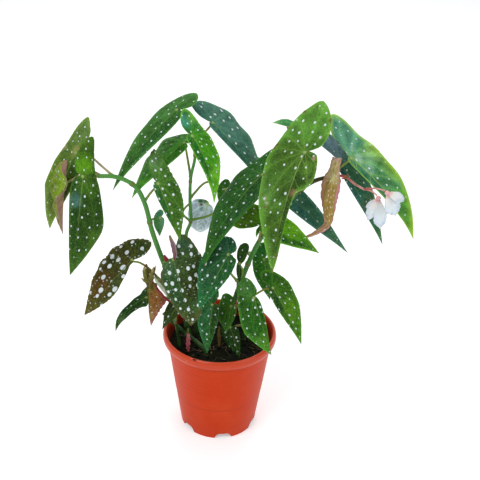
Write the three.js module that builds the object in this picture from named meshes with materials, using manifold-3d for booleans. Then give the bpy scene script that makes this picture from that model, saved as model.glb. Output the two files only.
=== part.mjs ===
// Potted polka dot begonia: a plant of arching canes, wing-shaped spotted leaves and two
// white flowers, standing in a round plastic nursery pot.
// Millimetres, +Z up. The origin is the middle of the flat base; the plant leans towards -Y.
import * as THREE from 'three';
import { mergeVertices } from 'three/addons/utils/BufferGeometryUtils.js';
import Module from 'manifold-3d';

const wasm = await Module();
wasm.setup();

// ---------------------------------------------------------------- driving dimensions
const RIM_R = 80;           // outside of the rolled rim
const MOUTH_R = 74;         // inside of the rim
const POT_H = 153;
const FOOT_R = 53.8;        // outside of the foot ring
const WALL = 2.5;           // pot wall
const LIP_H = 15;           // height of the rolled rim
const FLOOR_Z = 10;         // underside of the raised channel in the floor
const HUB_R = 34;           // flat disc in the middle of the floor, which stands on the ground
const ARCHES = 6;           // drain arches round the foot
const ARCH_W = 25;
const ARCH_H = 9;
const ARCH_AT = -80.5;      // degrees round the pot, where the front arch stands
const SOIL_Z = 131;         // top of the soil
const ROOT_Z = 95;          // the canes reach down to here inside the soil
const GAP = 0.35;           // clearance between separate pieces
const BLADE = 0.9;          // leaf thickness
const SEAT = 1.3;           // the petiole's end lies this far under the middle of the blade
const CALM = 12;            // the blade is kept even this near its petiole
const DEG = Math.PI / 180;

const V = (x, y, z) => new THREE.Vector3(x, y, z);

// ---------------------------------------------------------------- bodies as shared points
// A body is {points: [Vector3], faces: [[a, b, c]]}, closed and facing outward.

function toManifold(body) {
  const vertProperties = new Float32Array(body.points.length * 3);
  body.points.forEach((p, i) => vertProperties.set([p.x, p.y, p.z], i * 3));
  const triVerts = new Uint32Array(body.faces.flat());
  return new wasm.Manifold(new wasm.Mesh({ numProp: 3, vertProperties, triVerts }));
}

function geometryToBody(geometry) {
  const plain = new THREE.BufferGeometry();
  plain.setAttribute('position', geometry.getAttribute('position'));
  if (geometry.index) plain.setIndex(geometry.index);
  const merged = mergeVertices(plain, 1e-4);
  const at = merged.getAttribute('position');
  const points = [];
  for (let i = 0; i < at.count; i += 1) points.push(V(at.getX(i), at.getY(i), at.getZ(i)));
  const faces = [];
  for (let i = 0; i < merged.index.count; i += 3) {
    const f = [0, 1, 2].map((k) => merged.index.getX(i + k));
    if (new Set(f).size === 3) faces.push(f);
  }
  return { points, faces };
}

function fromManifold(solid) {
  const mesh = solid.getMesh();
  const geometry = new THREE.BufferGeometry();
  const flat = new Float32Array(mesh.numVert * 3);
  for (let i = 0; i < mesh.numVert; i += 1) {
    for (let k = 0; k < 3; k += 1) flat[i * 3 + k] = mesh.vertProperties[i * mesh.numProp + k];
  }
  geometry.setAttribute('position', new THREE.BufferAttribute(flat, 3));
  geometry.setIndex(new THREE.BufferAttribute(new Uint32Array(mesh.triVerts), 1));
  return geometry;
}

const group = new THREE.Group();
group.name = 'potted_polka_dot_begonia';

function add(name, solid, color, roughness = 0.55) {
  const geometry = fromManifold(solid);
  geometry.computeVertexNormals();
  const material = new THREE.MeshStandardMaterial({ color, roughness, metalness: 0 });
  const mesh = new THREE.Mesh(geometry, material);
  mesh.name = name;
  group.add(mesh);
}

// Turns a closed (radius, height) profile, running from the axis back to the axis.
function turned(profile, segments) {
  const points = [];
  const faces = [];
  const rings = profile.map(([r, z]) => {
    const start = points.length;
    if (r < 1e-6) {
      points.push(V(0, 0, z));
      return { start, one: true };
    }
    for (let i = 0; i < segments; i += 1) {
      const a = (i / segments) * 2 * Math.PI;
      points.push(V(r * Math.cos(a), r * Math.sin(a), z));
    }
    return { start, one: false };
  });
  for (let k = 0; k + 1 < rings.length; k += 1) {
    const low = rings[k];
    const high = rings[k + 1];
    for (let i = 0; i < segments; i += 1) {
      const j = (i + 1) % segments;
      if (low.one) faces.push([low.start, high.start + j, high.start + i]);
      else if (high.one) faces.push([low.start + i, low.start + j, high.start]);
      else {
        faces.push([low.start + i, low.start + j, high.start + i]);
        faces.push([low.start + j, high.start + j, high.start + i]);
      }
    }
  }
  return { points, faces };
}

// A closed blade around an open sheet: both faces carry the same triangles. Within `calm` of
// the first point the sheet keeps that point's normal, so that its short edges don't cross.
function blade(sheet, faces, loop, thickness, calm = 0) {
  const normals = sheet.map(() => V(0, 0, 0));
  for (const [a, b, c] of faces) {
    const n = sheet[b].clone().sub(sheet[a]).cross(sheet[c].clone().sub(sheet[a]));
    for (const i of [a, b, c]) normals[i].add(n);
  }
  normals.forEach((n) => n.normalize());
  const hub = normals[0].clone();
  sheet.forEach((p, i) => {
    const near = calm ? Math.max(0, 1 - p.distanceTo(sheet[0]) / calm) : 0;
    normals[i].lerp(hub, Math.min(1, 2 * near)).normalize().multiplyScalar(thickness / 2);
  });
  const count = sheet.length;
  const points = sheet.map((p, i) => p.clone().add(normals[i]));
  sheet.forEach((p, i) => points.push(p.clone().sub(normals[i])));
  const all = faces.map((f) => [...f]);
  for (const [a, b, c] of faces) all.push([a + count, c + count, b + count]);
  loop.forEach((a, i) => {
    const b = loop[(i + 1) % loop.length];
    all.push([b, a, a + count]);
    all.push([b, a + count, b + count]);
  });
  return { points, faces: all };
}

// A stalk of round section along a smooth path through the given points. The radius runs
// from r0 to r1, with a swollen ring at each fraction listed in nodes.
function stalk(path, r0, r1, { step = 17, sides = 7, nodes = [], swell = 1.25 } = {}) {
  const curve = new THREE.CatmullRomCurve3(path, false, 'centripetal');
  const length = curve.getLength();
  const count = Math.max(3, Math.round(length / step));
  const stops = [];
  for (let i = 0; i <= count; i += 1) stops.push(i / count);
  for (const n of nodes) stops.push(n - 3.2 / length, n, n + 3.2 / length);
  stops.sort((a, b) => a - b);
  const kept = stops.filter((s, i) => i === 0 || s - stops[i - 1] > 1.5 / length);
  kept[kept.length - 1] = 1;
  const points = [];
  const faces = [];
  let side = null;
  kept.forEach((s, k) => {
    const at = curve.getPointAt(s);
    const along = curve.getTangentAt(s).normalize();
    if (!side) side = Math.abs(along.z) > 0.8 ? V(1, 0, 0) : V(0, 0, 1);
    side.addScaledVector(along, -side.dot(along)).normalize();
    const other = along.clone().cross(side);
    const near = nodes.some((n) => Math.abs(n - s) * length < 1);
    const r = (r0 + (r1 - r0) * s) * (near ? swell : 1);
    for (let i = 0; i < sides; i += 1) {
      const a = (i / sides) * 2 * Math.PI;
      points.push(at.clone()
        .addScaledVector(side, r * Math.cos(a))
        .addScaledVector(other, r * Math.sin(a)));
    }
    if (k === 0) return;
    const base = (k - 1) * sides;
    for (let i = 0; i < sides; i += 1) {
      const j = (i + 1) % sides;
      faces.push([base + i, base + j, base + sides + i]);
      faces.push([base + j, base + sides + j, base + sides + i]);
    }
  });
  const first = points.length;
  points.push(curve.getPointAt(0), curve.getPointAt(1));
  const last = (kept.length - 1) * sides;
  for (let i = 0; i < sides; i += 1) {
    const j = (i + 1) % sides;
    faces.push([first, j, i]);
    faces.push([first + 1, last + i, last + j]);
  }
  return { points, faces };
}

// ---------------------------------------------------------------- leaves
// Outline of a begonia leaf for a midrib of length 1: x runs from the petiole to the tip, y
// across, with the broad wing on the plus side and the notch behind the petiole.
const NARROW = [
  [-0.03, -0.035], [-0.035, -0.085], [0.02, -0.15], [0.15, -0.175], [0.35, -0.165],
  [0.60, -0.11], [0.82, -0.045], [1, 0],
];
const BROAD = [
  [1, 0], [0.84, 0.07], [0.62, 0.17], [0.38, 0.245], [0.12, 0.265], [-0.12, 0.225],
  [-0.32, 0.125], [-0.42, 0], [-0.37, -0.10], [-0.22, -0.135], [-0.10, -0.085],
  [-0.03, -0.035],
];
const PETAL_A = [[-0.06, -0.03], [0.1, -0.07], [0.4, -0.19], [0.75, -0.23], [1, 0]];
const PETAL_B = [[1, 0], [0.75, 0.22], [0.4, 0.20], [0.1, 0.07], [-0.06, 0.03], [-0.06, -0.03]];

function smooth(points, count) {
  const at = (i) => {
    if (i < 0) return points[0].map((v, k) => 2 * v - points[1][k]);
    if (i >= points.length) {
      const n = points.length;
      return points[n - 1].map((v, k) => 2 * v - points[n - 2][k]);
    }
    return points[i];
  };
  const out = [];
  for (let i = 0; i < count; i += 1) {
    const t = (i / (count - 1)) * (points.length - 1);
    const k = Math.min(Math.floor(t), points.length - 2);
    const u = t - k;
    out.push([0, 1].map((c) => {
      const [a, b, d, e] = [at(k - 1)[c], at(k)[c], at(k + 1)[c], at(k + 2)[c]];
      const cubic = -a + 3 * b - 3 * d + e;
      return 0.5 * (2 * b + (d - a) * u + (2 * a - 5 * b + 4 * d - e) * u * u + cubic * u ** 3);
    }));
  }
  return out;
}

function outline(narrow, broad, nNarrow, nBroad) {
  const a = smooth(narrow, nNarrow);
  const b = smooth(broad, nBroad);
  return [...a, ...b.slice(1, -1)];
}

// Where a point of the flat outline comes to lie on the bent leaf. The midrib is an arc from
// `at` to `tip` that bulges towards `face`; both wings fall away from it.
function frameOf(spec) {
  const at = V(...spec.at);
  const tip = V(...spec.tip);
  const along = tip.clone().sub(at);
  const chord = along.length();
  along.normalize();
  const face = V(...spec.face);
  const normal = face.addScaledVector(along, -face.dot(along)).normalize();
  const side = normal.clone().cross(along);
  const arch = (spec.arch ?? 25) * DEG;
  const length = (chord * arch) / 2 / Math.sin(arch / 2);
  return { at, along, normal, side, arch, length };
}

function bend(spec, f, u, v) {
  const { length: L, arch } = f;
  const sign = spec.big;
  const x = u * L * (u < 0 ? spec.back ?? 1 : 1);
  const narrow = spec.slim ?? 1;
  const scale = v > 0 ? spec.wide ?? 1 : (u > 0 ? narrow : spec.nip ?? narrow);
  let y = v * sign * L * scale;
  if (u < 0) y += -x * Math.tan((spec.veer ?? 0) * DEG) * sign * (-u / 0.42);
  const sweep = (spec.curve ?? 0) * L * sign * (u > 0 ? 4 * u * (1 - u) : 2.4 * u);
  const k = arch / L + (x < 0 ? ((spec.lobe ?? -8) * DEG) / (0.42 * L) : 0);
  const start = arch / 2;
  const turn = start - k * x;
  const flat = Math.abs(k) < 1e-6;
  const px = flat ? x * Math.cos(start) : (Math.sin(start) - Math.sin(turn)) / k;
  const pn = flat ? x * Math.sin(start) : (Math.cos(turn) - Math.cos(start)) / k;
  const up = f.normal.clone().multiplyScalar(Math.cos(turn))
    .addScaledVector(f.along, -Math.sin(turn));
  const roll = ((spec.twist ?? 0) * DEG * x) / L;
  const across = f.side.clone().multiplyScalar(Math.cos(roll))
    .addScaledVector(up, Math.sin(roll));
  const out = up.clone().multiplyScalar(Math.cos(roll))
    .addScaledVector(f.side, -Math.sin(roll));
  const wing = 0.26 * L;
  const a = Math.abs(y);
  // the narrow wing may curl back over the blade, more so away from the petiole
  const curled = spec.curl && v < 0 ? Math.min(1, Math.hypot(x, y) / (0.3 * L)) : 0;
  const fold = ((spec.fold ?? 8) * (1 - curled) + (spec.curl ?? 0) * curled) * DEG;
  const rate = ((spec.cup ?? 10) * DEG * (1 - 2 * curled)) / wing;
  const cup = Math.abs(rate) < 1e-4 ? 1e-4 : rate;
  const lateral = (Math.sin(fold + cup * a) - Math.sin(fold)) / cup;
  let drop = (Math.cos(fold + cup * a) - Math.cos(fold)) / cup;
  const beat = (spec.waves ?? 2.5) * (x / L) + (spec.phase ?? 0);
  const ripple = Math.sin(2 * Math.PI * beat + (y > 0 ? 0.9 : 0));
  drop += (spec.wave ?? 0.012) * L * ripple * (a / wing) ** 2;
  return f.at.clone()
    .addScaledVector(f.along, px)
    .addScaledVector(f.normal, pn)
    .addScaledVector(across, lateral * (y < 0 ? -1 : 1) + sweep)
    .addScaledVector(out, drop);
}

function leafBody(spec, edge, rings, thickness) {
  const f = frameOf(spec);
  const sheet = [bend(spec, f, 0, 0)];
  const faces = [];
  const m = edge.length;
  rings.forEach((r) => edge.forEach(([u, v]) => sheet.push(bend(spec, f, u * r, v * r))));
  for (let j = 0; j < m; j += 1) {
    const k = (j + 1) % m;
    faces.push([0, 1 + j, 1 + k]);
    for (let r = 0; r + 1 < rings.length; r += 1) {
      const inner = 1 + r * m;
      const outer = inner + m;
      faces.push([inner + j, outer + j, inner + k]);
      faces.push([inner + k, outer + j, outer + k]);
    }
  }
  const mirrored = spec.big < 0;
  const facing = mirrored ? faces.map(([a, b, c]) => [a, c, b]) : faces;
  const loop = [];
  for (let j = 0; j < m; j += 1) loop.push(1 + (rings.length - 1) * m + j);
  if (mirrored) loop.reverse();
  return blade(sheet, facing, loop, thickness, CALM);
}

// Each leaf: where the petiole meets it, its tip, the way its upper side looks, which side
// of the midrib is broad (big), and how it is bent. Lengths in mm, angles in degrees.
const LEAVES = {
  leaf_far_left: {
    at: [-185, -25, 435], tip: [-220, -45, 335], face: [-0.3, -0.8, 0.4], big: -1,
    slim: 0.8, arch: 30, color: '#4d7a33',
    broad: [
      [1, 0], [0.85, 0.1], [0.57, 0.22], [0.45, 0.24], [0.24, 0.235], [0.07, 0.195],
      [-0.09, 0.165], [-0.27, 0.135], [-0.39, 0.095], [-0.43, 0.05], [-0.36, -0.015],
      [-0.27, -0.075], [-0.12, -0.085], [-0.03, -0.035],
    ],
  },
  leaf_far_left_ruffled: {
    at: [-194, -60, 410], tip: [-200, -65, 340], face: [-0.3, -0.8, 0.5], big: -1,
    wide: 1.4, slim: 0.8, curl: -125, cup: 25, arch: 15, wave: 0.03, waves: 4,
    color: '#7f9440',
  },
  leaf_left: {
    at: [-170, -70, 425], tip: [-185, -115, 310], face: [0.35, -0.85, 0.35], big: 1,
    arch: 30, color: '#2c5a2c',
    narrow: [
      [-0.01, -0.02], [0.02, -0.075], [0.1, -0.105], [0.23, -0.11], [0.5, -0.085],
      [0.78, -0.045], [1, 0],
    ],
    broad: [
      [1, 0], [0.88, 0.075], [0.75, 0.155], [0.54, 0.265], [0.34, 0.255], [0.12, 0.195],
      [-0.01, 0.145], [-0.11, 0.12], [-0.25, 0.105], [-0.4, 0.09], [-0.37, 0.01],
      [-0.26, -0.055], [-0.14, -0.085], [-0.05, -0.065], [-0.01, -0.02],
    ],
  },
  leaf_top_long: {
    at: [-60, 3, 485], tip: [-136, -54, 398], face: [-0.5, -0.6, 0.7], big: -1,
    wide: 0.7, slim: 0.62, arch: 30, back: 0.62, color: '#335f33',
  },
  leaf_top_under: {
    at: [-50, -5, 444], tip: [-113, -48, 385], face: [-0.6, -0.7, 0.5], big: -1,
    wide: 1.55, slim: 0.55, arch: 30, fold: 18, back: 0.4, color: '#2f5a30',
  },
  leaf_centre_wavy: {
    at: [-80, -48, 407], tip: [-51, -73, 339], face: [0, -0.86, 0.5], big: 1,
    wide: 1.1, slim: 0.6, back: 1.28, veer: 15, curve: 0.02, wave: 0.03, waves: 3.5,
    color: '#315c2f',
  },
  leaf_top_bright: {
    at: [-38, -40, 470], tip: [-9, -75, 396], face: [0.5, -0.8, 0.4], big: 1,
    wide: 1.05, slim: 0.62, curve: 0.06, veer: 18, color: '#3f8428',
  },
  leaf_top_right: {
    at: [-15, 23, 460], tip: [57, 8, 372], face: [0.5, -0.7, 0.6], big: 1,
    wide: 1.35, slim: 0.35, arch: 35, fold: 18, lobe: -20, back: 0.75, color: '#38635f',
  },
  leaf_spotted_front: {
    at: [-60, -70, 310], tip: [-35, -95, 225], face: [0, -0.86, 0.5], big: 1,
    arch: 20, color: '#3b4a30',
    narrow: [
      [-0.03, 0.01], [-0.01, -0.06], [0.05, -0.15], [0.2, -0.225], [0.37, -0.23],
      [0.54, -0.195], [0.7, -0.155], [0.84, -0.09], [1, 0],
    ],
    broad: [
      [1, 0], [0.9, 0.15], [0.8, 0.21], [0.6, 0.3], [0.38, 0.38], [0.13, 0.42],
      [-0.04, 0.37], [-0.2, 0.31], [-0.28, 0.25], [-0.31, 0.18], [-0.23, 0.12],
      [-0.1, 0.045], [-0.03, 0.01],
    ],
  },
  leaf_spotted_low: {
    at: [-55, -45, 225], tip: [-75, -70, 200], face: [0, -0.86, 0.5], big: -1,
    wide: 1.1, slim: 1.1, color: '#38402a',
  },
  leaf_long_dark: {
    at: [50, -30, 415], tip: [-20, -85, 310], face: [-0.65, -0.6, 0.5], big: -1,
    slim: 0.8, arch: 45, lobe: -30, color: '#244c2e',
  },
  leaf_largest: {
    at: [100, -55, 460], tip: [65, -135, 335], face: [-0.3, -0.85, 0.5], big: -1,
    curve: 0.035, arch: 20, color: '#56803a',
    narrow: [
      [-0.02, -0.03], [0, -0.1], [0.1, -0.14], [0.21, -0.15], [0.29, -0.11], [0.35, -0.055],
      [0.53, -0.04], [0.7, -0.038], [0.88, -0.025], [1, 0],
    ],
    broad: [
      [1, 0], [0.92, 0.04], [0.76, 0.115], [0.49, 0.228], [0.27, 0.28], [0.07, 0.295],
      [-0.11, 0.255], [-0.28, 0.185], [-0.38, 0.12], [-0.455, 0.03], [-0.37, -0.07],
      [-0.23, -0.125], [-0.09, -0.105], [-0.02, -0.03],
    ],
  },
  leaf_right_tall: {
    at: [162, -10, 432], tip: [249, -32, 329], face: [0.4, -0.8, 0.5], big: 1,
    fold: 3, arch: 40, lobe: -25, curve: 0.03, color: '#5f9657',
    narrow: [
      [-0.03, 0], [-0.01, -0.03], [0.06, -0.05], [0.2, -0.06], [0.4, -0.055], [0.6, -0.04],
      [0.82, -0.016], [1, 0],
    ],
    broad: [
      [1, 0], [0.84, 0.085], [0.62, 0.18], [0.42, 0.225], [0.3, 0.238], [0.16, 0.25],
      [0.03, 0.255], [-0.1, 0.25], [-0.235, 0.262], [-0.36, 0.245], [-0.415, 0.2],
      [-0.36, 0.13], [-0.285, 0.055], [-0.165, 0.028], [-0.065, 0.008], [-0.03, 0],
    ],
  },
  leaf_right_folded: {
    at: [150, 15, 415], tip: [215, 0, 300], face: [0.3, -0.8, 0.4], big: 1,
    wide: 0.7, slim: 0.3, veer: -15, color: '#2c5450',
  },
  leaf_right_blue: {
    at: [70, 25, 375], tip: [170, 0, 285], face: [0.1, -0.8, 0.6], big: 1,
    wide: 0.5, slim: 0.55, arch: 20, color: '#2c5260',
  },
  leaf_right_bright: {
    at: [55, -32, 346], tip: [128, -42, 309], face: [0.1, -0.8, 0.6], big: 1,
    wide: 1.0, nip: 2.0, back: 1.6, arch: 15, color: '#4f8f26',
  },
  leaf_right_shaded: {
    at: [58, 5, 268], tip: [68, -20, 219], face: [0, -0.86, 0.5], big: -1,
    wide: 1.15, color: '#24482c',
  },
  leaf_low_right: {
    at: [70, -45, 255], tip: [110, -80, 190], face: [0.3, -0.8, 0.5], big: 1,
    wide: 1.15, slim: 0.6, back: 0.75, color: '#3c7433',
  },
  leaf_over_rim: {
    at: [45, -70, 255], tip: [70, -105, 190], face: [0, -0.86, 0.5], big: -1,
    color: '#3f7a35',
    narrow: [
      [-0.02, -0.03], [0.02, -0.06], [0.13, -0.085], [0.3, -0.085], [0.48, -0.07],
      [0.76, -0.03], [1, 0],
    ],
    broad: [
      [1, 0], [0.85, 0.125], [0.655, 0.265], [0.51, 0.335], [0.26, 0.335], [-0.02, 0.285],
      [-0.23, 0.22], [-0.37, 0.09], [-0.32, -0.02], [-0.14, -0.085], [-0.07, -0.065],
      [-0.02, -0.03],
    ],
  },
  leaf_middle_teal: {
    at: [10, -70, 320], tip: [-25, -110, 260], face: [0, -0.86, 0.5], big: -1,
    wide: 1.35, slim: 1.05, back: 0.65, veer: 20, nip: 0.8, color: '#245345',
  },
  leaf_middle_small: {
    at: [25, -35, 285], tip: [25, -50, 265], face: [0, -0.86, 0.5], big: 1,
    color: '#20402c',
    narrow: [
      [-0.1, -0.08], [0.02, -0.14], [0.25, -0.17], [0.55, -0.14], [0.8, -0.07], [1, 0],
    ],
    broad: [
      [1, 0], [0.75, 0.1], [0.3, 0.12], [0.05, 0.08], [-0.2, 0.26], [-0.6, 0.42], [-1, 0.5],
      [-1.2, 0.36], [-1.1, 0.05], [-0.75, -0.13], [-0.35, -0.16], [-0.1, -0.08],
    ],
  },
  leaf_low_middle: {
    at: [-10, -45, 225], tip: [-15, -60, 155], face: [0, -0.86, 0.5], big: -1,
    slim: 0.8, back: 0.8, color: '#2b6038',
  },
  leaf_low_round: {
    at: [15, -25, 210], tip: [10, -45, 180], face: [0, -0.86, 0.5], big: -1,
    wide: 1.9, slim: 1.35, back: 1.15, veer: 30, color: '#2f6a30',
  },
  leaf_in_pot: {
    at: [15, -22, 173], tip: [30, -43, 136], face: [0, -0.86, 0.5], big: -1,
    wide: 1.15, slim: 1.2, color: '#1f4a2c',
  },
  leaf_spotted_left: {
    at: [-115, -50, 295], tip: [-175, -85, 230], face: [-0.2, -0.85, 0.5], big: -1,
    wide: 1.25, nip: 0.6, back: 0.85, wave: 0.03, waves: 4, color: '#3f4a28',
    narrow: [
      [-0.02, -0.035], [0.03, -0.035], [0.08, -0.035], [0.18, -0.07], [0.3, -0.1],
      [0.52, -0.14], [0.73, -0.105], [0.91, -0.045], [1, 0],
    ],
  },
  leaf_low_left: {
    at: [-100, -25, 220], tip: [-140, -50, 180], face: [-0.3, -0.7, 0.6], big: -1,
    curve: 0.1, color: '#214730',
    narrow: [
      [-0.03, -0.035], [0.03, -0.12], [0.13, -0.185], [0.23, -0.145], [0.42, -0.115],
      [0.61, -0.09], [0.8, -0.035], [1, 0],
    ],
    broad: [
      [1, 0], [0.83, 0.09], [0.62, 0.11], [0.38, 0.1], [0.2, 0.13], [0.05, 0.145],
      [-0.07, 0.22], [-0.24, 0.265], [-0.36, 0.25], [-0.38, 0.15], [-0.22, 0.02],
      [-0.03, -0.035],
    ],
  },
  leaf_shrivelled: {
    at: [-93, -47, 265], tip: [-90, -70, 205], face: [0, -0.86, 0.5], big: 1,
    wave: 0.03, waves: 4, color: '#6b5236',
    narrow: [
      [-0.02, -0.05], [0.04, -0.055], [0.18, -0.06], [0.37, -0.035], [0.7, -0.03], [1, 0],
    ],
    broad: [
      [1, 0], [0.88, 0.065], [0.72, 0.165], [0.585, 0.26], [0.47, 0.335], [0.33, 0.22],
      [0.21, 0.18], [0.07, 0.09], [-0.02, 0.09], [-0.26, 0.135], [-0.17, 0.04],
      [-0.3, -0.07], [-0.13, -0.135], [-0.02, -0.05],
    ],
  },
  leaf_backlit: {
    at: [-20, 15, 345], tip: [-29, 0, 310], face: [0, -0.86, 0.5], big: -1,
    color: '#9fb4b4',
    narrow: [
      [-0.03, -0.05], [0.05, -0.2], [0.35, -0.3], [0.68, -0.28], [0.9, -0.16], [1, 0],
    ],
    broad: [
      [1, 0], [0.97, 0.2], [0.88, 0.38], [0.55, 0.6], [0.25, 0.62], [0, 0.56], [-0.11, 0.4],
      [-0.14, 0.15], [-0.1, 0], [-0.03, -0.05],
    ],
  },
  leaf_behind_small: {
    at: [3, 20, 366], tip: [3, 10, 336], face: [0, -0.86, 0.5], big: -1,
    wide: 1.3, slim: 1.5, color: '#26492c',
  },
  leaf_tiny: {
    at: [-80, -25, 345], tip: [-80, -30, 320], face: [0, -0.86, 0.5], big: -1,
    wide: 1.3, slim: 1.3, color: '#3a6650',
  },
  leaf_back_top: {
    at: [85, 5, 470], tip: [60, -5, 475], face: [-0.2, -0.6, 0.8], big: -1,
    color: '#33684a',
  },
};

// ---------------------------------------------------------------- canes
// Each cane: a path from its root, its two radii, where its rings sit along the path, and
// the petioles that leave it, each with the leaf it carries and the points it passes.
const CANES = {
  cane_left: {
    root: [-44, 6],
    path: [[-50, -2, 180], [-63, -18, 235], [-76, -32, 283], [-89, -42, 335], [-97, -48, 378],
      [-107, -51, 402], [-120, -53, 413], [-134, -54, 418], [-154, -54, 418]],
    radii: [4.2, 2.7], rings: [0.3, 0.5, 0.71, 0.88],
    petioles: {
      leaf_spotted_front: [[-75, -33, 283], [-66, -48, 296]],
      leaf_centre_wavy: [[-98, -48, 380], [-89, -43, 392]],
      leaf_far_left: [[-134, -54, 418], [-152, -38, 425], [-170, -20, 430]],
      leaf_left: [[-152, -54, 418], [-161, -58, 420]],
      leaf_far_left_ruffled: [[-148, -54, 418], [-163, -40, 416], [-180, -42, 410]],
      leaf_tiny: [[-90, -43, 340], [-95, -22, 338]],
    },
  },
  cane_middle: {
    root: [-34, 16],
    path: [[-40, 9, 200], [-47, 2, 270], [-47, -4, 310], [-41, -10, 333], [-42, -11, 365],
      [-41, -12, 398], [-36, -10, 425], [-36, -6, 445]],
    radii: [3.2, 1.8], rings: [0.45, 0.68, 0.85],
    petioles: {
      leaf_long_dark: [[-42, -10, 334], [-14, -16, 347], [20, -14, 378]],
      leaf_top_under: [[-41, -12, 398], [-46, 0, 420]],
      leaf_top_bright: [[-36, -10, 428], [-37, -18, 448]],
      leaf_top_long: [[-36, -7, 443], [-46, 6, 462]],
      leaf_top_right: [[-36, -7, 443], [-28, 14, 446]],
      leaf_low_middle: [[-40, 9, 200], [-25, -8, 213]],
      leaf_backlit: [[-41, -10, 332], [-53, 12, 333], [-42, 30, 338]],
      leaf_behind_small: [[-42, -11, 368], [-20, 22, 375]],
    },
  },
  cane_right: {
    root: [12, 9],
    path: [[17, 0, 190], [31, -12, 254], [48, -10, 301], [72, -2, 342], [96, 2, 372],
      [117, 5, 389], [135, 5, 396], [149, 4, 399]],
    radii: [4.0, 2.6], rings: [0.32, 0.5, 0.68, 0.86],
    petioles: {
      leaf_right_shaded: [[41, -11, 280], [36, 8, 276], [44, 18, 269]],
      leaf_right_bright: [[49, -10, 302], [52, -14, 326]],
      leaf_right_blue: [[62, -5, 326], [54, 14, 348], [60, 30, 362]],
      leaf_largest: [[97, 2, 373], [101, 0, 412], [102, -14, 442]],
      leaf_back_top: [[97, 2, 373], [97, 8, 412], [90, 14, 450]],
      leaf_right_tall: [[139, 5, 397], [152, -4, 418]],
      leaf_right_folded: [[135, 5, 396], [142, 20, 406]],
    },
    stubs: [[[137, 5, 396], [138, 2, 406], [141, -4, 416], [142, -8.3, 412.8]]],
  },
  shoot_right: {
    root: [34, 8],
    path: [[33, -2, 166], [29, -14, 200], [24, -26, 235], [23, -34, 260]],
    radii: [2.6, 1.6], rings: [0.45, 0.7],
    petioles: {
      leaf_middle_teal: [[22, -33, 257], [13, -46, 278]],
      leaf_middle_small: [[23, -33, 256], [29, -27, 264], [28, -24, 272]],
      leaf_low_right: [[26, -20, 216], [43, -32, 232], [62, -35, 247]],
      leaf_over_rim: [[25, -25, 230], [38, -46, 243]],
      leaf_low_round: [[30, -12, 192], [22, -11, 202]],
      leaf_in_pot: [[33, -1, 162], [24, -8, 166]],
    },
  },
  shoot_left: {
    root: [-56, -14],
    path: [[-60, -18, 170], [-66, -24, 205], [-74, -30, 238], [-80, -34, 255]],
    radii: [2.6, 1.6], rings: [0.5, 0.75],
    petioles: {
      leaf_spotted_left: [[-79, -33, 252], [-92, -32, 268], [-106, -36, 282]],
      leaf_shrivelled: [[-80, -33, 253], [-83, -36, 260]],
      leaf_low_left: [[-70, -27, 220], [-86, -20, 222]],
      leaf_spotted_low: [[-61, -19, 180], [-58, -32, 208]],
    },
  },
};

// The low cane that creeps over the soil and ends above the rim in a bare stub.
const RUNNER = {
  root: [-19, -26],
  path: [[-28, -22, 143], [-46, -8, 149], [-66, 4, 160], [-80, 9, 172]],
  radii: [3.4, 2.4], rings: [0.62, 0.88],
  petioles: {},
  stubs: [[[-46, -8, 149], [-44, -14, 162], [-43, -20, 165.5], [-43, -23.4, 161.8]]],
};

function petiole(points, leaf) {
  const f = frameOf(LEAVES[leaf]);
  const lean = f.normal.clone().multiplyScalar(Math.cos(f.arch / 2))
    .addScaledVector(f.along, -Math.sin(f.arch / 2));
  const path = points.map((p) => V(...p));
  path.push(f.at.clone().addScaledVector(lean, -9));
  path.push(f.at.clone().addScaledVector(lean, -SEAT));
  return stalk(path, 1.7, 1.2, { sides: 5, step: 13 });
}

function caneSolid(cane) {
  const [x, y] = cane.root;
  const path = [V(x, y, ROOT_Z), V(x, y, 118), V(x, y, 136), ...cane.path.map((p) => V(...p))];
  let solid = toManifold(stalk(path, ...cane.radii, { nodes: cane.rings }));
  for (const [leaf, points] of Object.entries(cane.petioles)) {
    solid = solid.add(toManifold(petiole(points, leaf)));
  }
  for (const stub of cane.stubs ?? []) {
    const points = stub.map((p) => V(...p));
    solid = solid.add(toManifold(stalk(points, 1.5, 0.9, { sides: 5, step: 8 })));
  }
  return solid;
}

// ---------------------------------------------------------------- pot and soil
function archSolid(angle) {
  const half = ARCH_W / 2;
  const shape = new THREE.Shape();
  shape.moveTo(-half, -5);
  shape.lineTo(half, -5);
  shape.lineTo(half, 0);
  shape.lineTo(half - 3, ARCH_H - 2.5);
  shape.lineTo(half - 6, ARCH_H);
  shape.lineTo(-half + 6, ARCH_H);
  shape.lineTo(-half + 3, ARCH_H - 2.5);
  shape.lineTo(-half, 0);
  shape.closePath();
  const prism = new THREE.ExtrudeGeometry(shape, { depth: 24, bevelEnabled: false });
  // shape x -> tangent, shape y -> up, depth -> outward
  prism.rotateX(Math.PI / 2);
  prism.translate(0, -44, 0);
  prism.rotateZ((angle + 90) * DEG);
  return toManifold(geometryToBody(prism));
}

const wallTop = POT_H - LIP_H;
const underLip = FOOT_R + 0.14 * wallTop;
const inside = (z) => underLip - WALL - 0.14 * (wallTop - z);

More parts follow.
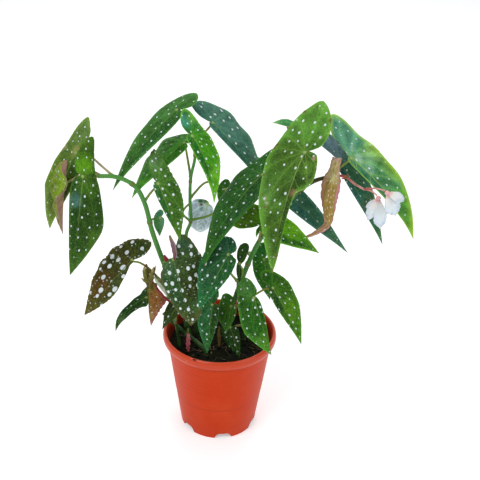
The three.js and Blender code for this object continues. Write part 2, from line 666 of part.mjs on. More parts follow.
function potSolid() {
  const profile = [
    [0, 0], [HUB_R, 0], [HUB_R + 2, FLOOR_Z], [48, FLOOR_Z], [50, 0], [FOOT_R, 0],
    [FOOT_R + 0.14 * 56, 56], [FOOT_R + 0.14 * 56 + 0.4, 58], [FOOT_R + 0.14 * 60, 60],
    [underLip, wallTop], [RIM_R - 3, wallTop + 1], [RIM_R - 0.7, wallTop + 4],
    [RIM_R, wallTop + 7.5], [RIM_R - 0.8, POT_H - 3], [RIM_R - 2.6, POT_H - 0.5],
    [MOUTH_R + 2, POT_H], [MOUTH_R + 0.4, POT_H - 1.4], [MOUTH_R - 0.4, POT_H - 5],
    [inside(wallTop) + 0.4, wallTop + 1], [inside(FLOOR_Z + WALL), FLOOR_Z + WALL],
    [HUB_R + 0.2, FLOOR_Z + WALL], [HUB_R - 1.8, WALL], [0, WALL],
  ];
  let pot = toManifold(turned(profile, 48));
  for (let i = 0; i < ARCHES; i += 1) {
    pot = pot.subtract(archSolid(ARCH_AT + (i * 360) / ARCHES));
  }
  return pot;
}

const lump = (x, y) => Math.sin(x * 0.31 + y * 0.17) + Math.sin(y * 0.37 - x * 0.21)
  + 0.8 * Math.sin(x * 0.83 + 1.3) * Math.sin(y * 0.71);

function soilSolid() {
  const g = GAP;
  const rims = [
    [0, WALL + g], [HUB_R - 2.4, WALL + g], [HUB_R - 0.4, FLOOR_Z + WALL + g],
    [inside(FLOOR_Z + WALL) - g - 0.1, FLOOR_Z + WALL + g], [inside(SOIL_Z) - g - 0.3, SOIL_Z],
    [60, SOIL_Z], [49, SOIL_Z], [38, SOIL_Z], [26, SOIL_Z], [13, SOIL_Z], [0, SOIL_Z],
  ];
  const body = turned(rims, 36);
  for (const p of body.points) {
    const inner = Math.hypot(p.x, p.y) < 62;
    if (p.z > SOIL_Z - 1 && inner) p.z += 0.9 * lump(p.x, p.y);
  }
  let soil = toManifold(body);
  for (const cane of [...Object.values(CANES), RUNNER]) {
    const [x, y] = cane.root;
    const hole = turned([[0, ROOT_Z - GAP], [cane.radii[0] + 0.9, ROOT_Z - GAP],
      [cane.radii[0] + 0.9, 150], [0, 150]], 12);
    soil = soil.subtract(toManifold(hole).translate([x, y, 0]));
  }
  // the dry leaf that stands in the soil
  const slot = turned([[0, 126.4], [2.6, 126.4], [2.6, 150], [0, 150]], 10);
  return soil.subtract(toManifold(slot).translate([0, -12, 0]));
}

// ---------------------------------------------------------------- flowers
// The stalk starts just beyond the end of the right cane and forks into two pedicels.
const CANE_END = CANES.cane_right.path.at(-1);

function flowerStalk() {
  const [x, y, z] = CANE_END;
  const main = [[x + 0.7, y, z + 0.1], [x + 8, y - 2, z + 0.5], [170, -12, 396], [181, -24, 395]];
  const forks = [
    [[179, -22, 395.3], [189, -34, 398], [195, -40, 396]],
    [[180, -23, 395], [193, -37, 404], [203, -48, 407]],
  ];
  let solid = toManifold(stalk(main.map((p) => V(...p)), 1.8, 1.3, { sides: 6, step: 10 }));
  for (const fork of forks) {
    const path = fork.map((p) => V(...p));
    solid = solid.add(toManifold(stalk(path, 1.2, 1.0, { sides: 6, step: 8 })));
  }
  return solid;
}

const PETALS = {
  flower_left: {
    core: [197, -42, 393],
    petals: [
      { tip: [185, -52, 366], face: [-0.5, -0.8, 0.3], wide: 1.1 },
      { tip: [201, -57, 357], face: [0.3, -0.9, 0.2], wide: 1.1 },
      { tip: [203, -32, 366], face: [0.9, 0.3, 0.3], wide: 0.9 },
      { tip: [186, -28, 369], face: [-0.4, 0.9, 0.2], wide: 0.9 },
    ],
  },
  flower_right: {
    core: [206, -50, 405],
    petals: [
      { tip: [227, -60, 400], face: [0.4, -0.6, 0.8], wide: 1.5 },
      { tip: [217, -65, 381], face: [0.2, -0.9, 0.4], wide: 1.4 },
      { tip: [224, -49, 387], face: [0.7, 0.5, 0.5], wide: 1.2 },
      { tip: [213, -47, 382], face: [-0.8, 0.3, -0.2], wide: 1.0 },
    ],
  },
};

function flowerSolid({ core, petals }) {
  const ball = new THREE.SphereGeometry(3.2, 10, 6).translate(...core);
  let solid = toManifold(geometryToBody(ball));
  const edge = outline(PETAL_A, PETAL_B, 6, 8);
  for (const { tip, face, wide } of petals) {
    const bent = { arch: 40, fold: 0, cup: 18, wave: 0, lobe: 0 };
    const spec = { at: core, tip, face, big: 1, wide, slim: wide, ...bent };
    solid = solid.add(toManifold(leafBody(spec, edge, [0.5, 1], 0.8)));
  }
  return solid;
}

// ---------------------------------------------------------------- withered pieces
// A dried leaf: a strip rolled inwards across its width. Each station gives a point on its
// spine and its half width; `roll` is how far round the strip closes.
function rolledSolid({ spine, face, roll, across = 5 }) {
  const curve = new THREE.CatmullRomCurve3(spine.map(([x, y, z]) => V(x, y, z)));
  const rows = spine.length * 2 - 1;
  const sheet = [];
  for (let i = 0; i < rows; i += 1) {
    const t = i / (rows - 1);
    const at = curve.getPoint(t);
    const along = curve.getTangent(t);
    const out = V(...face);
    out.addScaledVector(along, -out.dot(along)).normalize();
    const side = out.clone().cross(along);
    const k = Math.min(Math.floor(i / 2), spine.length - 2);
    const half = THREE.MathUtils.lerp(spine[k][3], spine[k + 1][3], (i - 2 * k) / 2);
    const radius = half / (roll * DEG / 2);
    for (let j = 0; j < across; j += 1) {
      const a = ((j / (across - 1)) * 2 - 1) * (roll * DEG / 2);
      sheet.push(at.clone().addScaledVector(side, radius * Math.sin(a))
        .addScaledVector(out, radius * (Math.cos(a) - 1)));
    }
  }
  const faces = [];
  for (let i = 0; i + 1 < rows; i += 1) {
    for (let j = 0; j + 1 < across; j += 1) {
      const a = i * across + j;
      const b = a + across;
      faces.push([a, b, a + 1], [a + 1, b, b + 1]);
    }
  }
  const loop = [];
  for (let i = 0; i < rows; i += 1) loop.push(i * across);
  for (let j = 1; j < across; j += 1) loop.push((rows - 1) * across + j);
  for (let i = rows - 2; i >= 0; i -= 1) loop.push(i * across + across - 1);
  for (let j = across - 2; j > 0; j -= 1) loop.push(j);
  return toManifold(blade(sheet, faces, loop, 0.8));
}

const WITHERED = {
  withered_right: {
    spine: [[143, -6, 427, 5], [142, -10, 413, 9], [140, -13, 397, 14], [138, -16, 377, 13],
      [139, -19, 354, 9], [137, -20, 338, 5], [122, -23, 328, 3], [106, -26, 321, 1.2]],
    face: [0, -0.9, 0.4], roll: 115, color: '#a8705a',
  },
  withered_bract: {
    spine: [[-43, -24, 161, 2], [-43, -27, 152, 3.6], [-43, -30, 143, 3.2], [-42, -31, 136, 1]],
    face: [0, -0.9, 0.3], roll: 160, color: '#c46f74',
  },
  withered_low: {
    spine: [[-1, -7, 163, 1.2], [-1, -10, 152, 2.6], [0, -12, 141, 2.2], [0, -12.4, 127, 1.2]],
    face: [0, -0.9, 0.3], roll: 140, color: '#8a7a3a',
  },
};

// ---------------------------------------------------------------- everything
add('pot', potSolid(), '#c8432a', 0.45);
add('soil', soilSolid(), '#1d1712', 0.95);
for (const [name, cane] of Object.entries(CANES)) add(name, caneSolid(cane), '#4c7a3c');
add('cane_low', caneSolid(RUNNER), '#39572f');
add('flower_stalk', flowerStalk(), '#c98478', 0.5);
for (const [name, flower] of Object.entries(PETALS)) add(name, flowerSolid(flower), '#f0ece6', 0.5);
for (const [name, spec] of Object.entries(WITHERED)) add(name, rolledSolid(spec), spec.color, 0.8);

for (const [name, spec] of Object.entries(LEAVES)) {
  const size = frameOf(spec).length;
  const counts = size > 70 ? [10, 15] : [8, 11];
  const edge = outline(spec.narrow ?? NARROW, spec.broad ?? BROAD, ...counts);
  const rings = size > 70 ? [0.38, 0.72, 1] : [0.55, 1];
  add(name, toManifold(leafBody(spec, edge, rings, BLADE)), spec.color);
}

export default group;
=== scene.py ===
"""Potted polka dot begonia: arching canes with wing-shaped, white-dotted leaves and two small
white flowers, in a round orange-red nursery pot. Tables are in millimetres, Blender in metres."""
import math
import random
from dataclasses import dataclass
from types import SimpleNamespace

import bpy
import numpy as np
from mathutils import Matrix, Vector


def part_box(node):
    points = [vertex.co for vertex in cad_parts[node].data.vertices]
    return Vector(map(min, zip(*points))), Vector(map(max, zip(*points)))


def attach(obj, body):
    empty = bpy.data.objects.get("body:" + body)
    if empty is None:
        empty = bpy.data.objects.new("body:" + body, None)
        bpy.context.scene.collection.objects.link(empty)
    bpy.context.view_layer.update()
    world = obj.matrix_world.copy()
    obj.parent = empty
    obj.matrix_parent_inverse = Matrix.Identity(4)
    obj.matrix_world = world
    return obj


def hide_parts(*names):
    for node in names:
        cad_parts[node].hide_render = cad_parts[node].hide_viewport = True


bl_info = {
    "name": "Potted polka dot begonia",
    "version": (1, 0, 0),
    "blender": (4, 5, 0),
    "location": "View3D > Sidebar > Begonia",
    "description": "Builds a potted polka dot begonia over its packed solids",
    "category": "Object",
}

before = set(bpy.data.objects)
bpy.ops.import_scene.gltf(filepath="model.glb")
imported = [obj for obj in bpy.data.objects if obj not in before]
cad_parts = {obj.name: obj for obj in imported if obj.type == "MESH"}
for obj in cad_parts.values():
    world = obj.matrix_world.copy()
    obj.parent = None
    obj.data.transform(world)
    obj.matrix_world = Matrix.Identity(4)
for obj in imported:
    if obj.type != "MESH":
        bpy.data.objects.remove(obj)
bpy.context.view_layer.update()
POT_HIGH, SOIL_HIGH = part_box("pot")[1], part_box("soil")[1]
MM = 0.001


def rgb(code):
    """Linear colour of a #rrggbb code."""
    parts = [int(code[i : i + 2], 16) / 255 for i in (1, 3, 5)]
    return tuple(c / 12.92 if c <= 0.04045 else ((c + 0.055) / 1.055) ** 2.4 for c in parts)


def deep(code):
    """The same colour, a little richer and darker, as leaves have a pale sheen over it."""
    richer, sheen, least = 1.12, 0.013, 0.001
    return tuple(max(least, c * richer - sheen) for c in rgb(code))


# ------------------------------------------------------------------ settings
def length(name, description, default, **more):
    return bpy.props.FloatProperty(
        name=name, description=description, default=default, unit="LENGTH", **more
    )


def colour(name, description, code):
    return bpy.props.FloatVectorProperty(
        name=name, description=description, default=rgb(code), size=3,
        subtype="COLOR", min=0.0, max=1.0,
    )


class PotSettings(bpy.types.PropertyGroup):
    rim_radius: length("Rim radius", "Outside radius of the rolled rim", POT_HIGH.x)
    height: length("Height", "From the foot to the top of the rim", POT_HIGH.z)
    plastic: colour("Plastic", "Colour of the pot wall", "#c03606")
    # paler plastic, for wear and also for the painted highlight on the rim
    wear_and_highlight: colour("Worn plastic", "Paler colour of rubbed and dusty places", "#d2502a")
    # painted shade: a darker red for the inner wall
    shade: colour("Inner wall", "Colour of the wall inside, above the soil", "#7e2410")


class SoilSettings(bpy.types.PropertyGroup):
    level: length("Level", "Height of the soil", SOIL_HIGH.z - 0.002)
    crumbs: bpy.props.IntProperty(name="Crumbs", description="Number of loose lumps", default=420)
    twigs: bpy.props.IntProperty(name="Twigs", description="Number of roots and twigs", default=46)
    peat: colour("Peat", "Colour of the damp soil", "#0a0e05")
    fibre: colour("Fibre", "Colour of twigs and roots", "#7d6a4c")


class CaneSettings(bpy.types.PropertyGroup):
    bark: colour("Cane", "Colour of the canes", "#468434")
    low_shade: colour("Old cane", "Colour of the canes near the soil", "#26451a")
    ring: colour("Ring", "Colour of the rings where leaves were", "#7a5a35")
    petiole: colour("Petiole", "Colour of the leaf stalks", "#86963f")


class LeafSettings(bpy.types.PropertyGroup):
    thickness: length("Thickness", "Thickness of a leaf", 0.0008)
    relief: length("Relief", "How far the leaf swells between its veins", 0.0009)
    dot: colour("Dots", "Colour of the dots", "#dfe9ec")
    vein: colour("Veins", "Colour of the veins by the leaf stalk", "#8fae58")
    under: colour("Underside", "Colour of the back of the leaf", "#74323a")
    under_vein: colour("Underside veins", "Colour of the veins on the back", "#94604f")


class FlowerSettings(bpy.types.PropertyGroup):
    petal: colour("Petals", "Colour of the petals", "#e0e9ee")
    blush: colour("Blush", "Colour at the base of the petals", "#e6a6a4")
    stalk: colour("Stalk", "Colour of the flower stalk", "#cc5f5a")


class WitheredSettings(bpy.types.PropertyGroup):
    wrinkle: length("Wrinkle", "Depth of the creases in dry leaves", 0.0008)


class StageSettings(bpy.types.PropertyGroup):
    floor: colour("Floor", "Colour of the floor", "#f4f4f4")
    lamp: bpy.props.FloatProperty(
        name="Lamps", description="Strength of the studio lamps", default=1.0, min=0.0
    )
    lens: bpy.props.FloatProperty(
        name="Focal length", description="Focal length of the camera", default=80.2,
        unit="CAMERA",
    )


# ------------------------------------------------------------------ material maths
class Wire:
    """One output socket in a material. Arithmetic on it adds Math nodes."""

    def __init__(self, finish, socket):
        self.finish = finish
        self.socket = socket

    def math(self, operation, *others):
        node = self.finish.node("Math", {"operation": operation}, dict(enumerate((self, *others))))
        return Wire(self.finish, node.outputs[0])

    def __add__(self, other):
        return self.math("ADD", other)

    def __mul__(self, other):
        return self.math("MULTIPLY", other)

    __radd__, __rmul__ = __add__, __mul__

    def __sub__(self, other):
        return self.math("SUBTRACT", other)

    def __rsub__(self, other):
        return self * -1.0 + other

    def __truediv__(self, other):
        return self.math("DIVIDE", other)

    def __abs__(self):
        return self.math("ABSOLUTE")

    def __gt__(self, other):
        return self.math("GREATER_THAN", other)


class WireMaths:
    """The functions of vein_distance for sockets."""

    sqrt = staticmethod(lambda a: a.math("SQRT"))
    turn = staticmethod(lambda a, b: a.math("ARCTAN2", b))
    mod = staticmethod(lambda a, b: a.math("FLOORED_MODULO", b))
    least = staticmethod(lambda a, b: a.math("MINIMUM", b))
    pick = staticmethod(lambda test, a, b: test * (a - b) + b)


class NumberMaths:
    """The functions of vein_distance for arrays of numbers."""

    sqrt = staticmethod(np.sqrt)
    turn = staticmethod(np.arctan2)
    mod = staticmethod(np.mod)
    least = staticmethod(np.minimum)
    pick = staticmethod(np.where)


class Finish:
    """A material with one main shader, built node by node."""

    def __init__(self, name, **constants):
        self.material = bpy.data.materials.new(name)
        self.material.use_nodes = True
        self.tree = self.material.node_tree
        self.shader = self.tree.nodes["Principled BSDF"]
        for socket, value in constants.items():
            self.shader.inputs[socket.replace("_", " ")].default_value = value

    def node(self, kind, settings=None, inputs=None):
        node = self.tree.nodes.new("ShaderNode" + kind)
        for key, value in (settings or {}).items():
            setattr(node, key, value)
        for key, value in (inputs or {}).items():
            self.plug(value, node.inputs[key])
        return node

    def plug(self, value, socket):
        if isinstance(value, Wire):
            self.tree.links.new(value.socket, socket)
        else:
            socket.default_value = value

    def set(self, **links):
        for key, value in links.items():
            self.plug(value, self.shader.inputs[key.replace("_", " ")])
        return self.material

    def wire(self, node, output=0):
        return Wire(self, node.outputs[output])

    def place(self):
        return self.wire(self.node("TexCoord"), "Object")

    def attribute(self, name):
        return self.wire(self.node("Attribute", {"attribute_name": name}), "Vector")

    def split(self, vector):
        node = self.node("SeparateXYZ", {}, {0: vector})
        return [self.wire(node, i) for i in range(3)]

    def join(self, x, y, z=0.0):
        return self.wire(self.node("CombineXYZ", {}, {0: x, 1: y, 2: z}))

    def vector(self, operation, *values):
        return self.wire(self.node("VectorMath", {"operation": operation}, dict(enumerate(values))))

    def step(self, value, low, high):
        """0 at low, 1 at high, smooth between."""
        node = self.node(
            "MapRange", {"interpolation_type": "SMOOTHSTEP"}, {0: value, 1: low, 2: high}
        )
        return self.wire(node)

    def noise(self, where, scale, detail=3.0, rough=0.55, output=0):
        sizes = {"Vector": where, "Scale": scale, "Detail": detail, "Roughness": rough}
        return self.wire(self.node("TexNoise", {}, sizes), output)

    def cells(self, where, scale, spread=1.0, **settings):
        sizes = {"Vector": where, "Scale": scale, "Randomness": spread}
        return self.node("TexVoronoi", settings, sizes)

    def mix(self, factor, a, b):
        """Colour a where factor is 0, b where it is 1."""
        inputs = {0: factor}
        for index, value in ((6, a), (7, b)):
            value = rgb(value) if isinstance(value, str) else value
            inputs[index] = value if isinstance(value, Wire) else (*value, 1.0)
        return self.wire(self.node("Mix", {"data_type": "RGBA", "clamp_factor": True}, inputs), 2)

    def bump(self, height, distance, strength=1.0):
        sizes = {"Height": height, "Distance": distance, "Strength": strength}
        return self.wire(self.node("Bump", {}, sizes))


# ------------------------------------------------------------------ mesh helpers
TINY = 1e-6
FINE_STEPS = 40  # points between two stations of a path, before it is cut to even steps


def new_object(name, data):
    item = bpy.data.objects.new(name, data)
    bpy.context.scene.collection.objects.link(item)
    return item


def new_mesh(name, points, faces):
    """A mesh object in metres from points in mm."""
    mesh = bpy.data.meshes.new(name)
    mesh.from_pydata((np.asarray(points, float) * MM).tolist(), [], faces)
    return new_object(name, mesh)


def make_piece(name, points, faces, materials, replaces=(), slot=None, fields=None, picks=None):
    """A smooth mesh object that rides on the plant's one body."""
    piece = new_mesh(name, points, faces)
    mesh = piece.data
    for material in materials:
        mesh.materials.append(material)
    for label, values in (fields or {}).items():
        layer = mesh.attributes.new(label, "FLOAT_VECTOR", "POINT")
        layer.data.foreach_set("vector", np.asarray(values, np.float32).ravel())
    if picks is not None:
        mesh.polygons.foreach_set("material_index", picks)
    mesh.polygons.foreach_set("use_smooth", [True] * len(mesh.polygons))
    mesh.update()
    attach(piece, "root")
    if replaces:
        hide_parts(*replaces)
    return piece


class Heap:
    """Points, faces and a field gathered from several bodies into one mesh."""

    def __init__(self):
        self.points, self.faces, self.field = [], [], []
        self.count = 0

    def add(self, points, faces, field):
        points = np.asarray(points, float)
        self.points.append(points)
        self.field.append(np.asarray(field, float))
        self.faces += [[i + self.count for i in face] for face in faces]
        self.count += len(points)

    def add_tube(self, path, radius, sides, step, field):
        """field gives three numbers from the distance along the tube and its length."""
        points, faces, s = tube(path, radius, sides, step)
        self.add(points, faces, np.stack([v + 0 * s for v in field(s, s.max())], 1))

    def piece(self, name, material, replaces, slot, label="stem"):
        fields = {label: np.concatenate(self.field)}
        make_piece(name, np.concatenate(self.points), self.faces, [material], replaces, slot,
                   fields)


def unit(v):
    return v / np.linalg.norm(v, axis=-1, keepdims=True)


def curve_points(path, step):
    """Points at even steps along the smooth centripetal curve through path."""
    p = np.asarray(path, float)
    p = np.vstack([2 * p[0] - p[1], p, 2 * p[-1] - p[-2]])
    fine = []
    for k in range(1, len(p) - 2):
        a, b, c, d = p[k - 1 : k + 3]
        t0, t1, t2 = (max(np.linalg.norm(y - x) ** 0.5, 1e-3) for x, y in ((a, b), (b, c), (c, d)))
        m1 = ((b - a) / t0 - (c - a) / (t0 + t1) + (c - b) / t1) * t1
        m2 = ((c - b) / t1 - (d - b) / (t1 + t2) + (d - c) / t2) * t1
        u = np.linspace(0, 1, FINE_STEPS, endpoint=k == len(p) - 3)[:, None]
        square, cube = 3 * (c - b) - 2 * m1 - m2, 2 * (b - c) + m1 + m2
        fine.append(b + m1 * u + square * u**2 + cube * u**3)
    fine = np.vstack(fine)
    run = np.r_[0, np.cumsum(np.linalg.norm(np.diff(fine, axis=0), axis=1))]
    count = max(4, int(round(run[-1] / step)))
    s = np.linspace(0, run[-1], count + 1)
    return np.stack([np.interp(s, run, fine[:, k]) for k in range(3)], 1), s


def tube(path, radius, sides=14, step=2.0):
    """A closed round tube: radius is a function of the distance along it and its length."""
    at, s = curve_points(path, step)
    r = radius(s, s[-1])
    along = unit(np.gradient(at, axis=0))
    side = np.array([1.0, 0, 0]) if abs(along[0][2]) > 0.8 else np.array([0, 0, 1.0])
    a = np.arange(sides) / sides * 2 * math.pi
    rings = []
    for p, t, q in zip(at, along, r):
        side = unit(side - t * side.dot(t))
        rings.append(p + q * (np.outer(np.cos(a), side) + np.outer(np.sin(a), np.cross(t, side))))
    points = np.vstack([*rings, at[:1], at[-1:]])
    faces = []
    last = (len(at) - 1) * sides
    for i in range(sides):
        j = (i + 1) % sides
        faces += [(k * sides + i, k * sides + j, (k + 1) * sides + j, (k + 1) * sides + i)
                  for k in range(len(at) - 1)]
        faces += [(len(points) - 2, j, i), (len(points) - 1, last + i, last + j)]
    return points, faces, np.r_[np.repeat(s, sides), s[0], s[-1]]


def turned(profile, segments):
    """A lathe body from a (radius, height) profile that starts and ends on the axis."""
    points, faces, rings = [], [], []
    for r, z in profile:
        if r < TINY:
            rings.append([len(points)] * segments)
            points.append((0, 0, z))
            continue
        rings.append([len(points) + i for i in range(segments)])
        a = np.arange(segments) / segments * 2 * math.pi
        points += np.stack([r * np.cos(a), r * np.sin(a), np.full(segments, z)], 1).tolist()
    for low, high in zip(rings, rings[1:]):
        for i in range(segments):
            j = (i + 1) % segments
            face = [low[i], low[j], high[j], high[i]]
            faces.append([v for k, v in enumerate(face) if v != face[k - 1]])
    return points, faces


def ball(radius, rows, sides):
    turns = [math.pi * i / rows for i in range(rows + 1)]
    return turned([(radius * math.sin(a), -radius * math.cos(a)) for a in turns], sides)


def rounded(profile, radius, steps=4):
    """The profile with each inner corner turned into a small curve."""
    out = [profile[0]]
    for a, b, c in zip(profile, profile[1:], profile[2:]):
        a, b, c = (np.array(p, float) for p in (a, b, c))
        start = b + (a - b) * min(0.45, radius / np.linalg.norm(a - b))
        end = b + (c - b) * min(0.45, radius / np.linalg.norm(c - b))
        for i in range(steps + 1):
            t = i / steps
            out.append(tuple((1 - t) ** 2 * start + 2 * t * (1 - t) * b + t * t * end))
    return [*out, profile[-1]]


def face_normals(sheet, faces):
    """The unit normal at each point, from the faces round it."""
    normals = np.zeros_like(sheet)
    for face in faces:
        n = np.cross(sheet[face[1]] - sheet[face[0]], sheet[face[-1]] - sheet[face[0]])
        for i in face:
            normals[i] += n
    return unit(normals)


def thicken(sheet, faces, loop, half, field):
    """A thin body from a sheet: its front, the rim round loop and its back."""
    count = len(sheet)
    back = [tuple(i + count for i in face[::-1]) for face in faces]
    rim = [(b, a, a + count, b + count) for a, b in zip(loop, loop[1:] + loop[:1])]
    points = np.vstack([sheet + half, sheet - half])
    return points, [*faces, *rim, *back], np.vstack([field, field])


def hills(p, size, seed=0.0):
    """Gentle lumps between -1 and 1 over points in mm."""
    x, y, z = (p[:, k] / size + seed * (k + 1.7) for k in range(3))
    return (np.sin(x * 1.7 + np.sin(y * 1.3)) + np.sin(y * 2.1 + np.sin(z * 1.9 + 1))
            + np.sin(z * 1.5 + np.sin(x * 2.3 + 2))) / 3


# ------------------------------------------------------------------ leaf form
FAN = 0.55  # radians between the veins that spread from the leaf stalk
RIB = 0.17  # leaf lengths between the veins that leave the midrib
LOBE = 0.42  # leaf lengths from the leaf stalk back to the end of the lobe
WING = 0.26  # leaf lengths from the midrib to the broad edge
NARROW = (
    (-0.03, -0.035), (-0.035, -0.085), (0.02, -0.15), (0.15, -0.175), (0.35, -0.165),
    (0.60, -0.11), (0.82, -0.045), (1, 0),
)
BROAD = (
    (1, 0), (0.84, 0.07), (0.62, 0.17), (0.38, 0.245), (0.12, 0.265), (-0.12, 0.225),
    (-0.32, 0.125), (-0.42, 0), (-0.37, -0.10), (-0.22, -0.135), (-0.10, -0.085),
    (-0.03, -0.035),
)
PETAL_A = ((-0.06, -0.03), (0.1, -0.07), (0.4, -0.19), (0.75, -0.23), (1, 0))
PETAL_B = ((1, 0), (0.75, 0.22), (0.4, 0.20), (0.1, 0.07), (-0.06, 0.03), (-0.06, -0.03))


@dataclass
class Leaf:
    """How a leaf hangs and bends. Lengths in mm, angles in degrees, the rest are shares."""

    at: tuple  # where the leaf stalk meets it
    tip: tuple
    big: int  # the side of the midrib that is broad, 1 or -1
    face: tuple = (0, -0.86, 0.5)  # the way its upper side looks
    arch: float = 25  # bend from end to end
    wide: float = 1  # width of the broad side
    slim: float = 1  # width of the narrow side
    nip: float = None  # the same behind the leaf stalk, where it differs
    back: float = 1  # length of the lobe
    veer: float = 0  # how far the lobe swings to the broad side
    curve: float = 0  # how far the midrib swings to the broad side
    lobe: float = -8  # bend of the lobe
    fold: float = 8  # fold along the midrib
    curl: float = None  # fold of a narrow side that rolls over
    cup: float = 10  # bend across each side
    wave: float = 0.012  # height of the ruffles
    waves: float = 2.5  # how many ruffles
    narrow: tuple = NARROW
    broad: tuple = BROAD


def vein_distance(m, x, y):
    """(distance to the midrib, to the nearest side vein), all in leaf lengths."""
    r = m.sqrt(x * x + y * y)
    turn = abs(m.turn(y, x)) + 0.45 * r
    ray = abs(m.mod(turn + FAN / 2, FAN) - FAN / 2) * r
    a = abs(y)
    rib = abs(m.mod(x - 1.1 * a - 0.8 * a * a + 0.03, RIB) - RIB / 2) * 0.7
    side = m.least(ray, m.pick(turn > FAN, rib * 0.0 + 1.0, rib))
    return m.pick(x > 0, a, a * 0.0 + 1.0), side


def smooth(points, count):
    """count points along the smooth curve through points."""
    p = np.asarray(points, float)
    p = np.vstack([2 * p[0] - p[1], p, 2 * p[-1] - p[-2]])
    t = np.linspace(0, len(points) - 1, count)
    k = np.minimum(t.astype(int), len(points) - 2)
    u = (t - k)[:, None]
    a, b, c, d = p[k], p[k + 1], p[k + 2], p[k + 3]
    return 0.5 * (2 * b + (c - a) * u + (2 * a - 5 * b + 4 * c - d) * u**2
                  + (3 * b - a - 3 * c + d) * u**3)


def outline(narrow, broad, count):
    return np.vstack([smooth(narrow, count * 2 // 5), smooth(broad, count * 3 // 5)[1:-1]])


def leaf_frame(leaf):
    at, tip, face = (np.array(v, float) for v in (leaf.at, leaf.tip, leaf.face))
    chord = np.linalg.norm(tip - at)
    along = (tip - at) / chord
    normal = unit(face - along * face.dot(along))
    arch = math.radians(leaf.arch)
    return SimpleNamespace(at=at, along=along, normal=normal, side=np.cross(normal, along),
                           arch=arch, length=chord * arch / 2 / math.sin(arch / 2))


def bend(leaf, f, u, v):
    """Where points of the flat outline lie on the bent leaf, and their flat place in mm."""
    size, sign = f.length, leaf.big
    x = u * size * np.where(u < 0, leaf.back, 1)
    near = leaf.slim if leaf.nip is None else leaf.nip
    y = v * sign * size * np.where(v > 0, leaf.wide, np.where(u > 0, leaf.slim, near))
    y = y + np.where(u < 0, x * math.tan(math.radians(leaf.veer)) * sign * u / LOBE, 0)
    sweep = leaf.curve * size * sign * np.where(u > 0, 4 * u * (1 - u), 2.4 * u)
    k = f.arch / size + np.where(x < 0, math.radians(leaf.lobe) / (LOBE * size), 0)
    start = f.arch / 2
    turn = start - k * x
    flat = np.abs(k) < TINY
    safe = np.where(flat, 1, k)
    px = np.where(flat, x * math.cos(start), (math.sin(start) - np.sin(turn)) / safe)
    pn = np.where(flat, x * math.sin(start), (np.cos(turn) - math.cos(start)) / safe)
    up = np.outer(np.cos(turn), f.normal) - np.outer(np.sin(turn), f.along)
    wing = WING * size
    a = np.abs(y)
    rolls = (v < 0) & (leaf.curl is not None)
    curled = np.where(rolls, np.minimum(1, np.hypot(x, y) / (0.3 * size)), 0)
    fold = np.radians(leaf.fold * (1 - curled) + (leaf.curl or 0) * curled)
    rate = math.radians(leaf.cup) * (1 - 2 * curled) / wing
    cup = np.where(np.abs(rate) < 1e-4, 1e-4, rate)
    lateral = (np.sin(fold + cup * a) - np.sin(fold)) / cup
    drop = (np.cos(fold + cup * a) - np.cos(fold)) / cup
    ripple = np.sin(2 * math.pi * leaf.waves * x / size + np.where(y > 0, 0.9, 0))
    drop = drop + leaf.wave * size * ripple * (a / wing) ** 2
    place = (f.at + np.outer(px, f.along) + np.outer(pn, f.normal)
             + f.side * (lateral * np.where(y < 0, -1, 1) + sweep)[:, None] + up * drop[:, None])
    return place, x, y * sign


def blade_mesh(leaf, edge, rows, thickness, relief, teeth, pitch):
    """Both faces and the rounded edge of a thin bent leaf.

    The last of the four results is how many faces the upper side has with its rim. The field
    holds the flat place in mm and how far out towards the edge a point lies."""
    calm = 12  # mm round the leaf stalk without veins in relief and without a bent normal
    f = leaf_frame(leaf)
    m = len(edge)
    rings = np.linspace(0, 1, rows + 1)[1:]
    reach = np.linalg.norm(edge, axis=1) * f.length
    run = np.cumsum(np.linalg.norm(edge - np.roll(edge, 1, 0), axis=1)) * f.length
    beats = max(4, round(run[-1] / pitch))
    scallop = np.abs(np.sin(math.pi * beats * run / run[-1])) - 0.6
    scallop *= 0.75 + 0.5 * np.sin(run * 0.21 + 1)
    tooth = teeth * scallop / np.maximum(reach, 8) * np.clip(reach / 20, 0, 1)
    out = [0.0]
    flat = [np.zeros((1, 2))]
    for r in rings:
        flat.append(edge * r * (1 + tooth * np.clip((r - 0.8) / 0.2, 0, 1) ** 2)[:, None])
        out += [r] * m
    flat = np.vstack(flat)
    out = np.array(out)
    sheet, x, y = bend(leaf, f, flat[:, 0], flat[:, 1])
    faces = []
    for j in range(m):
        k = (j + 1) % m
        faces.append((0, 1 + j, 1 + k))
        for r in range(len(rings) - 1):
            a, b = 1 + r * m, 1 + (r + 1) * m
            faces.append((a + j, b + j, b + k, a + k))
    loop = [1 + (len(rings) - 1) * m + j for j in range(m)]
    if leaf.big < 0:
        faces = [face[::-1] for face in faces]
        loop.reverse()
    normals = face_normals(sheet, faces)
    near = np.clip(2 * (1 - np.linalg.norm(sheet - sheet[0], axis=1) / calm), 0, 1)[:, None]
    normals = unit(normals * (1 - near) + normals[0] * near)
    if relief:
        mid, side = vein_distance(NumberMaths, x / f.length, y / f.length)
        depth = 1 - np.exp(-((np.minimum(mid, side) * f.length / 3.6) ** 2))
        fade = np.clip((1 - out) / 0.25, 0, 1) * np.clip(np.hypot(x, y) / calm, 0, 1)
        sheet = sheet + normals * (relief * depth * fade)[:, None]
    half = (thickness / 2 * np.clip((1.06 - out) / 0.1, 0.35, 1))[:, None]
    body = thicken(sheet, faces, loop, normals * half, np.stack([x, y, out], 1))
    return *body, len(faces) + len(loop)


